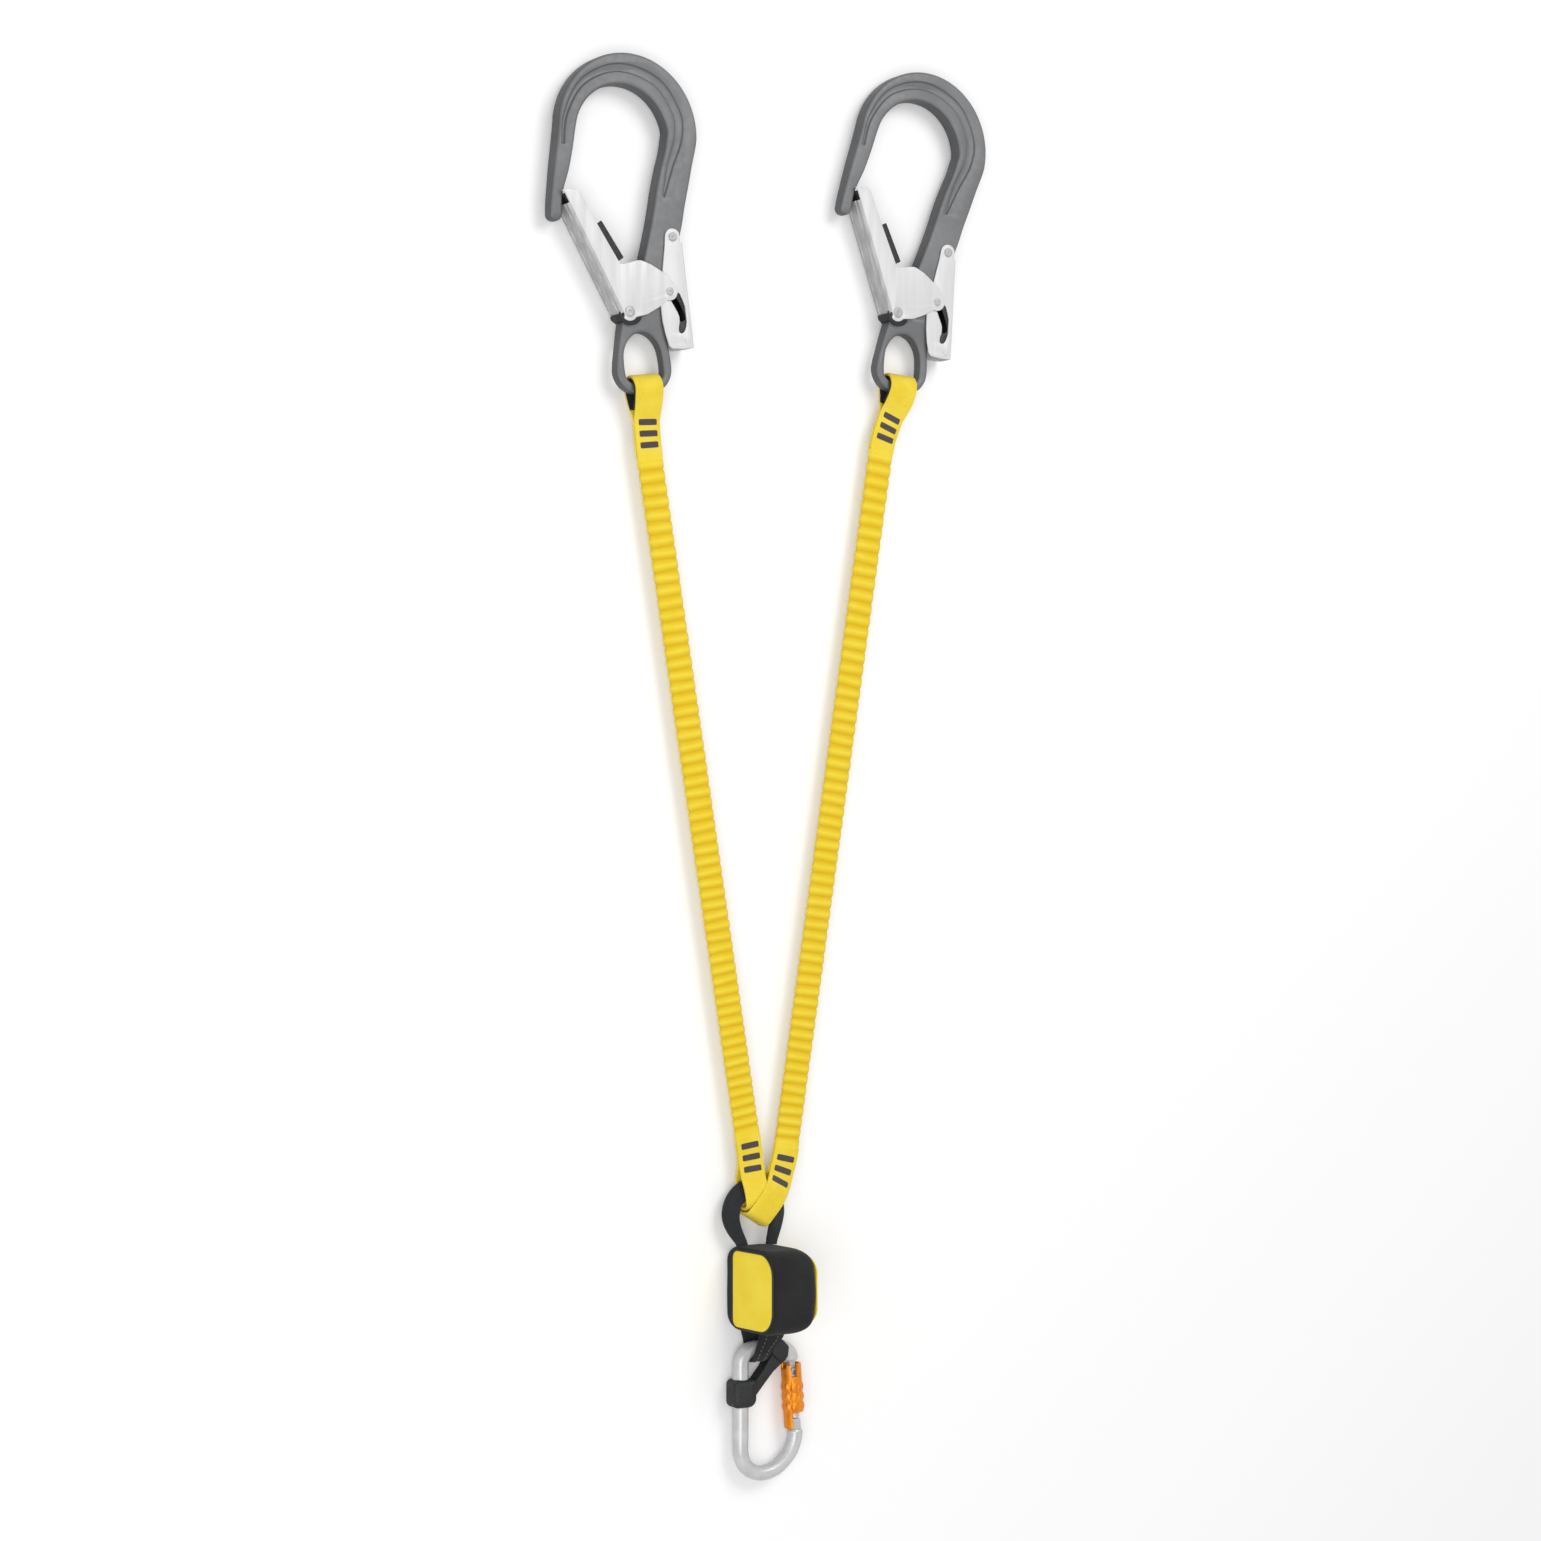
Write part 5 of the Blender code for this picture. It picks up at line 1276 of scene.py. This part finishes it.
def build_panels():
    """Padded yellow panels on the slanted sides, each with piping round it."""
    slant = math.atan2(POUCH_SHIFT, POUCH_HEIGHT)
    height = math.hypot(POUCH_SHIFT, POUCH_HEIGHT)
    left = rounded(POUCH_Y0 + 1.6, POUCH_Y1 - 2.4, 9.4, height - 1.4, (15.0, 15.0, 5.0, 5.0), 9)
    right = rounded(POUCH_Y0 + 6.0, POUCH_Y1 - 5.0, 6.0, height - 2.8, (11.0, 11.0, 5.0, 5.0), 8)
    for side, base, sign, outline, edging, slot, radius in (
        ("left", POUCH_X0, -1, left, RUBBER, "black_fabric", 0.85),
        ("right", POUCH_X1, 1, right, PANEL, "yellow_fabric", 0.6),
    ):
        def place(y, along, out):
            near = pouch_inset(y)
            x = base + sign * out * math.cos(slant) + along * math.sin(slant)
            x += 0.12 * near if sign < 0 else -0.25 * near - POUCH_LEAN * (1 - pouch_crown(y))
            return (x, y, along * math.cos(slant) - sign * out * math.sin(slant))

        middle = sum((Vector(p) for p in outline), Vector((0, 0))) / len(outline)
        rings = [[place(*p, 0.1) for p in outline]]
        for k in range(15):
            t = k / 14
            rise = 0.7 * math.sqrt(1 - (1 - min(t * 9, 1)) ** 2) + 0.9 * (1 - (1 - t) ** 2)
            spots = [middle + (Vector(p) - middle) * max(1 - t, 0.02) for p in outline]
            rings.append([place(*spot, 0.45 + rise) for spot in spots])
        name = f"{side}_side_panel"
        piece(name, loft(rings), PANEL, "absorber", f"{side}_pouch_panel", sharp=60.0)
        piping = tube([place(*p, 0.35) for p in outline], radius, 10, True)
        piece(f"{name}_piping", piping, edging, "absorber", slot=slot)


def build_tear_webbing():
    """The webbing folded to and fro inside the pouch."""
    left = POUCH_Y0 + 12.5
    path = []
    for k in range(LAYERS):
        z = AXIS_Z + LAYER_PITCH * k
        right = POUCH_Y1 - (7.5 if k else 3.7)
        first, last, turn = (left, right, 1) if k % 2 else (right, left, -1)
        path += [(first, z), (last, z)]
        if k < LAYERS - 1:
            for y, rise in arc((0, 0), 1.0, -60, 60, 4):
                path.append((last + turn * 2.0 * y, z + LAYER_PITCH / 2 * (1 + rise)))
    stations = []
    for i, (y, z) in enumerate(path):
        slope = run_at(path, i)
        if abs(slope.y) < 0.4:
            slope = Vector((math.copysign(1.0, slope.x), 0.0))
        x = 0.5 * (POUCH_X0 + POUCH_X1) + POUCH_SHIFT * z / POUCH_HEIGHT
        stations.append(side_station(x, y, z, slope, LAYER_HALF))
    piece("folded_webbing", strap(stations, 1.8), BLACK_WEB, "absorber", "tear_webbing")


def dashes(line, radius, long=2.1, short=0.9):
    """A row of sewn stitches along a line."""
    shapes, stitch = [], []
    walked = 0.0
    for before, after in zip(line, line[1:]):
        count = max(int((after - before).length / 0.3), 1)
        for i in range(count):
            if walked % (long + short) < long:
                stitch.append(tuple(before.lerp(after, i / count)))
            elif stitch:
                if len(stitch) > 2:
                    shapes.append(tube(stitch, radius, 6))
                stitch = []
            walked += (after - before).length / count
    return shapes


def build_lower_loop():
    turn = [(TOP_Y - y, ROD_Z + z) for y, z in arc((0, 0), LOOP_R, -80, 80, 8)]
    tail = POUCH_Y0 + 7.8
    low = [(tail, 5.0), (tail - 5.0, 4.0), (tail - 10.0, 3.0), (tail - 16.0, 2.1)]
    high = [(tail - 16.0, 17.3), (tail - 10.0, 16.4), (tail - 5.0, 15.4), (tail, 14.4)]
    profile = smooth(low + turn + high, 5)
    stations = []
    for i, (y, z) in enumerate(profile):
        if z > ROD_Z:
            x = ease(y, -418.0, -402.0, -17.2, -8.8)
            half_width = ease(y, -418.0, -402.0, 6.5, 10.6)
        else:
            lift = ease(i, 0, len(profile) / 2, 1.0, 0.0)
            x = ease(y, -410.5, -400.0, -17.2, -12.6 - 5.0 * lift)
            half_width = ease(y, -410.5, -400.0, 6.3, 9.4)
        stations.append(side_station(x, y, z, run_at(profile, i), half_width))
    piece("loop_webbing", strap(stations, LOOP_STRAP), BLACK_WEB, "absorber", "lower_loop")
    shapes = []
    for share in (-0.42, 0.5):
        line = []
        for centre, across, normal, half_width in stations[4:-4]:
            line.append(centre + across * half_width * share + normal * (LOOP_STRAP / 2 + 0.05))
        shapes += dashes(line, 0.4)
    piece("loop_threads", joined(shapes), TAN_THREAD, "absorber", slot="black_webbing")


build_fabric()
build_panels()
build_tear_webbing()
build_lower_loop()


# Carabiner.
def gate_point(along, out=0.0):
    """The plan point this far down the closed gate from its rivet."""
    x = CARA_PIVOT[0] + CARA_AXIS[0] * along - CARA_AXIS[1] * out
    y = CARA_PIVOT[1] + CARA_AXIS[1] * along + CARA_AXIS[0] * out
    return (x, y)


def rod_path():
    path = bezier(gate_point(-8.3), gate_point(-14.3), (4.5, TOP_Y), (-2.0, TOP_Y), 20)
    path += [(x, TOP_Y) for x in (-5.0, -8.0, -11.0, -14.0, -17.0)]
    path += arc((SPINE_X + 10.3, TOP_Y - 10.3), 10.3, 90, 180, 20)
    path += [(SPINE_X, y) for y in (-427.0, -430.0, -436.0, -442.0, -448.0, -454.0)]
    path += [(SPINE_X, y) for y in (-461.0, -468.0, -474.0, -480.0)]
    low = [(SPINE_X, -486.0), (-27.6, -494.5), (-21.0, -500.4), (-12.2, -502.5)]
    return path + smooth(low + [(-1.0, -499.6), (9.2, -491.0), (13.9, -481.0), gate_point(41.7)], 8)


def facets(angle):
    """The bar's section: an octagon with soft corners."""
    turn = (angle + math.pi / 8) % (math.pi / 4) - math.pi / 8
    flat = math.cos(math.pi / 8) / math.cos(turn)
    return 0.5 + 0.5 * min(flat, 0.985) / 0.97


def along_gate(shape):
    """Turns a shape whose +Z runs down the gate, with +X outward, onto the gate."""
    lean = math.atan2(CARA_AXIS[0], -CARA_AXIS[1])
    turn = Matrix.Rotation(lean, 4, "Z") @ Matrix.Rotation(math.radians(90), 4, "X")
    shift = Vector((*CARA_PIVOT, ROD_Z))
    return ([tuple(turn @ Vector(p) + shift) for p in shape[0]], *shape[1:])


def sleeve_ends(degrees):
    """Where the sleeve starts and ends at this angle, with a notch at each end."""
    top = SLEEVE_TOP
    if 86 < degrees < 122:
        top = 3.1
    if 150 < degrees < 218:
        top = -3.0
    notched = 328 < degrees or degrees < 126
    return top, SLEEVE_END - 11.5 if notched else SLEEVE_END


def sleeve_shape():
    """A knurled sleeve with rows of round bumps."""
    sides = 96
    rows = 90
    outer, inner = [], []
    for i in range(rows + 1):
        outer.append([])
        inner.append([])
        for k in range(sides):
            a = 2 * math.pi * k / sides
            top, low = sleeve_ends(360 * (k + 0.5) / sides)
            z = top + (low - top) * i / rows
            round_off = ((a * BUMPS / (2 * math.pi)) % 1.0 - 0.5) * 2 * math.pi * SLEEVE_R / BUMPS
            r = SLEEVE_R - 0.25 - 0.5 * (1 - min((z - top) / 0.6, (low - z) / 0.6, 1)) ** 2
            near = min(math.hypot((z - row) / 3.1, round_off / 2.6) for row in BUMP_ROWS)
            if near < 1:
                r += 0.85 * math.cos(near * math.pi / 2) ** 0.8
            outer[-1].append((r * math.cos(a), r * math.sin(a), z))
            inner[-1].append((SLEEVE_BORE * math.cos(a), SLEEVE_BORE * math.sin(a), z))
    return loft(inner[::10] + outer[::-1], True)


def bar_shape():
    """The faceted rod with its hinge cheek and the tongue that the gate closes on."""
    path = [(*p, ROD_Z) for p in rod_path()]
    radii = [ROD_R] * 41 + [ease(p[1], -470.0, -500.0, ROD_R, ROD_R - 0.4) for p in path[41:]]
    for k, trim in ((0, 0.8), (1, 0.35), (-1, 0.8), (-2, 0.35)):
        radii[k] -= trim
    side = [(-10.5, 2.4), (-2.6, 2.4), (-1.4, 2.8), (1.0, 2.8), (2.6, 1.6), (3.0, 0.0)]
    hinge = [gate_point(a, b) for a, b in side] + [gate_point(a, -b) for a, b in side[-2::-1]]
    tongue = [gate_point(a, b) for a, b in ((34.1, -4.0), (34.1, 4.0), (43.7, 4.0), (43.7, -4.0))]
    parts = [tube(path, radii, 48, section=facets)]
    for shape in (
        plate(hinge, -2.5, 2.5, [bore(CARA_PIVOT, 1.4)], edge=0.4),
        plate(filleted(tongue, 1.0, 3), -2.6, 2.6, edge=0.5),
    ):
        still = {"run": [(0.0, 0.0, 0.0)] * len(shape[0])}
        parts.append((*lifted(shape), still))
    return joined(parts)


def keeper_shape():
    """The band round the bar, the strap up to the loop and the strap's wrapped end."""
    hold = rounded(-38.8, -20.5, -453.7, -433.7, (3.0, 4.0, 4.0, 6.0), 6)
    diagonal = [(-27.0, -443.5), (-20.3, -434.9), (-13.2, -426.5), (-9.7, -420.6), (-6.1, -415.7)]
    diagonal += [(-3.6, -411.5), (3.6, -414.0), (4.6, -420.0), (1.0, -424.7), (-6.1, -430.1)]
    diagonal += [(-13.8, -438.6), (-20.3, -445.9), (-26.0, -451.0)]
    wrap = [(-8.4, -416.6), (-6.4, -409.6), (0.6, -407.0), (6.3, -412.8), (5.2, -419.9)]
    wrap += [(1.0, -424.7), (-3.0, -421.5)]
    return lifted(joined([
        plate(hold, -8.2, 8.2, edge=3.6, steps=6),
        plate(filleted(diagonal, 1.5, 3), -5.6, 5.6, edge=1.4, steps=4),
        plate(filleted(wrap, 2.2, 4), -7.6, 7.6, edge=2.0, steps=5),
    ]))


def build_carabiner():
    piece("carabiner_bar", bar_shape(), ALLOY, "carabiner", "carabiner_frame")
    pin = lifted(rivet(1.3, 1.8, 4.65, 5.05, CARA_PIVOT, 0.5))
    piece("carabiner_hinge_pin", pin, WIRE, "carabiner", "carabiner_gate_rivet")
    barrel = along_gate(sleeve_shape())
    piece("locking_barrel", barrel, ORANGE, "sleeve", "locking_sleeve", sharp=50.0)
    long = SPRING_END - SPRING_START
    wire = coil(4.5, 144, lambda t, c, s: (4.5 * c, 4.5 * s, SPRING_START + long * t))
    shape = along_gate(tube(wire, 0.4, 8))
    made = piece("barrel_spring", shape, WIRE, "carabiner_gate", "sleeve_spring", ride=False)
    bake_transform(made)
    piece("rubber_keeper", keeper_shape(), RUBBER, "carabiner", "keeper_strap")
    for node, look in (("carabiner_gate", ALLOY), ("sleeve_collar", WIRE)):
        mesh = frame["nodes"][node].data
        mesh.materials.clear()
        mesh.materials.append(look)


build_carabiner()


# Floor and light.
def build_floor():
    """A white floor that glows a little for the camera alone."""
    low = -0.0005
    mesh = bpy.data.meshes.new("floor")
    mesh.from_pydata([(-6, -6, low), (6, -6, low), (6, 6, low), (-6, 6, low)], [], [(0, 1, 2, 3)])
    floor = bpy.data.objects.new("floor", mesh)
    bpy.context.scene.collection.objects.link(floor)
    look = Look("floor", 0.9, Specular_IOR_Level=0.0, Base_Color=(0.86, 0.86, 0.86, 1.0))
    glow = look.add("Emission", {"Strength": look.maths("MULTIPLY", look.ray("Camera"), 0.16)})
    both = look.add("AddShader", {0: look.shader.outputs[0], 1: glow.outputs[0]})
    look.link(both.outputs[0], look.nodes["Material Output"].inputs["Surface"])
    mesh.materials.append(look.made)


def build_world():
    """A white sky that lights at half its strength, and a little more in reflections."""
    world = bpy.data.worlds.new("studio")
    bpy.context.scene.world = world
    world.use_nodes = True
    tree = Nodes(world.node_tree)
    seen = tree.maths("MAXIMUM", tree.ray("Camera"), tree.ray("Transmission"))
    level = tree.add("MapRange", {"Value": seen, "To Min": 0.5, "To Max": 1.0}).outputs[0]
    strength = tree.maths("MULTIPLY_ADD", tree.ray("Glossy"), 0.2, level)
    sky = tree.nodes["Background"]
    tree.link((1.0, 1.0, 1.0, 1.0), sky.inputs["Color"])
    tree.link(strength, sky.inputs["Strength"])


def build_lamps():
    for name, spot, size, power in (
        ("key", (0.7, 1.3, 2.1), 1.3, 24.0),
        ("fill", (-1.4, -0.5, 2.0), 1.6, 23.0),
    ):
        data = bpy.data.lights.new(name, "AREA")
        data.shape = "SQUARE"
        data.size = size
        data.energy = power
        lamp = bpy.data.objects.new(name, data)
        lamp.location = spot
        lamp.rotation_euler = (-Vector(spot)).to_track_quat("-Z", "Y").to_euler()
        bpy.context.scene.collection.objects.link(lamp)


build_floor()
build_world()
build_lamps()
bpy.context.scene.view_settings.view_transform = "Standard"
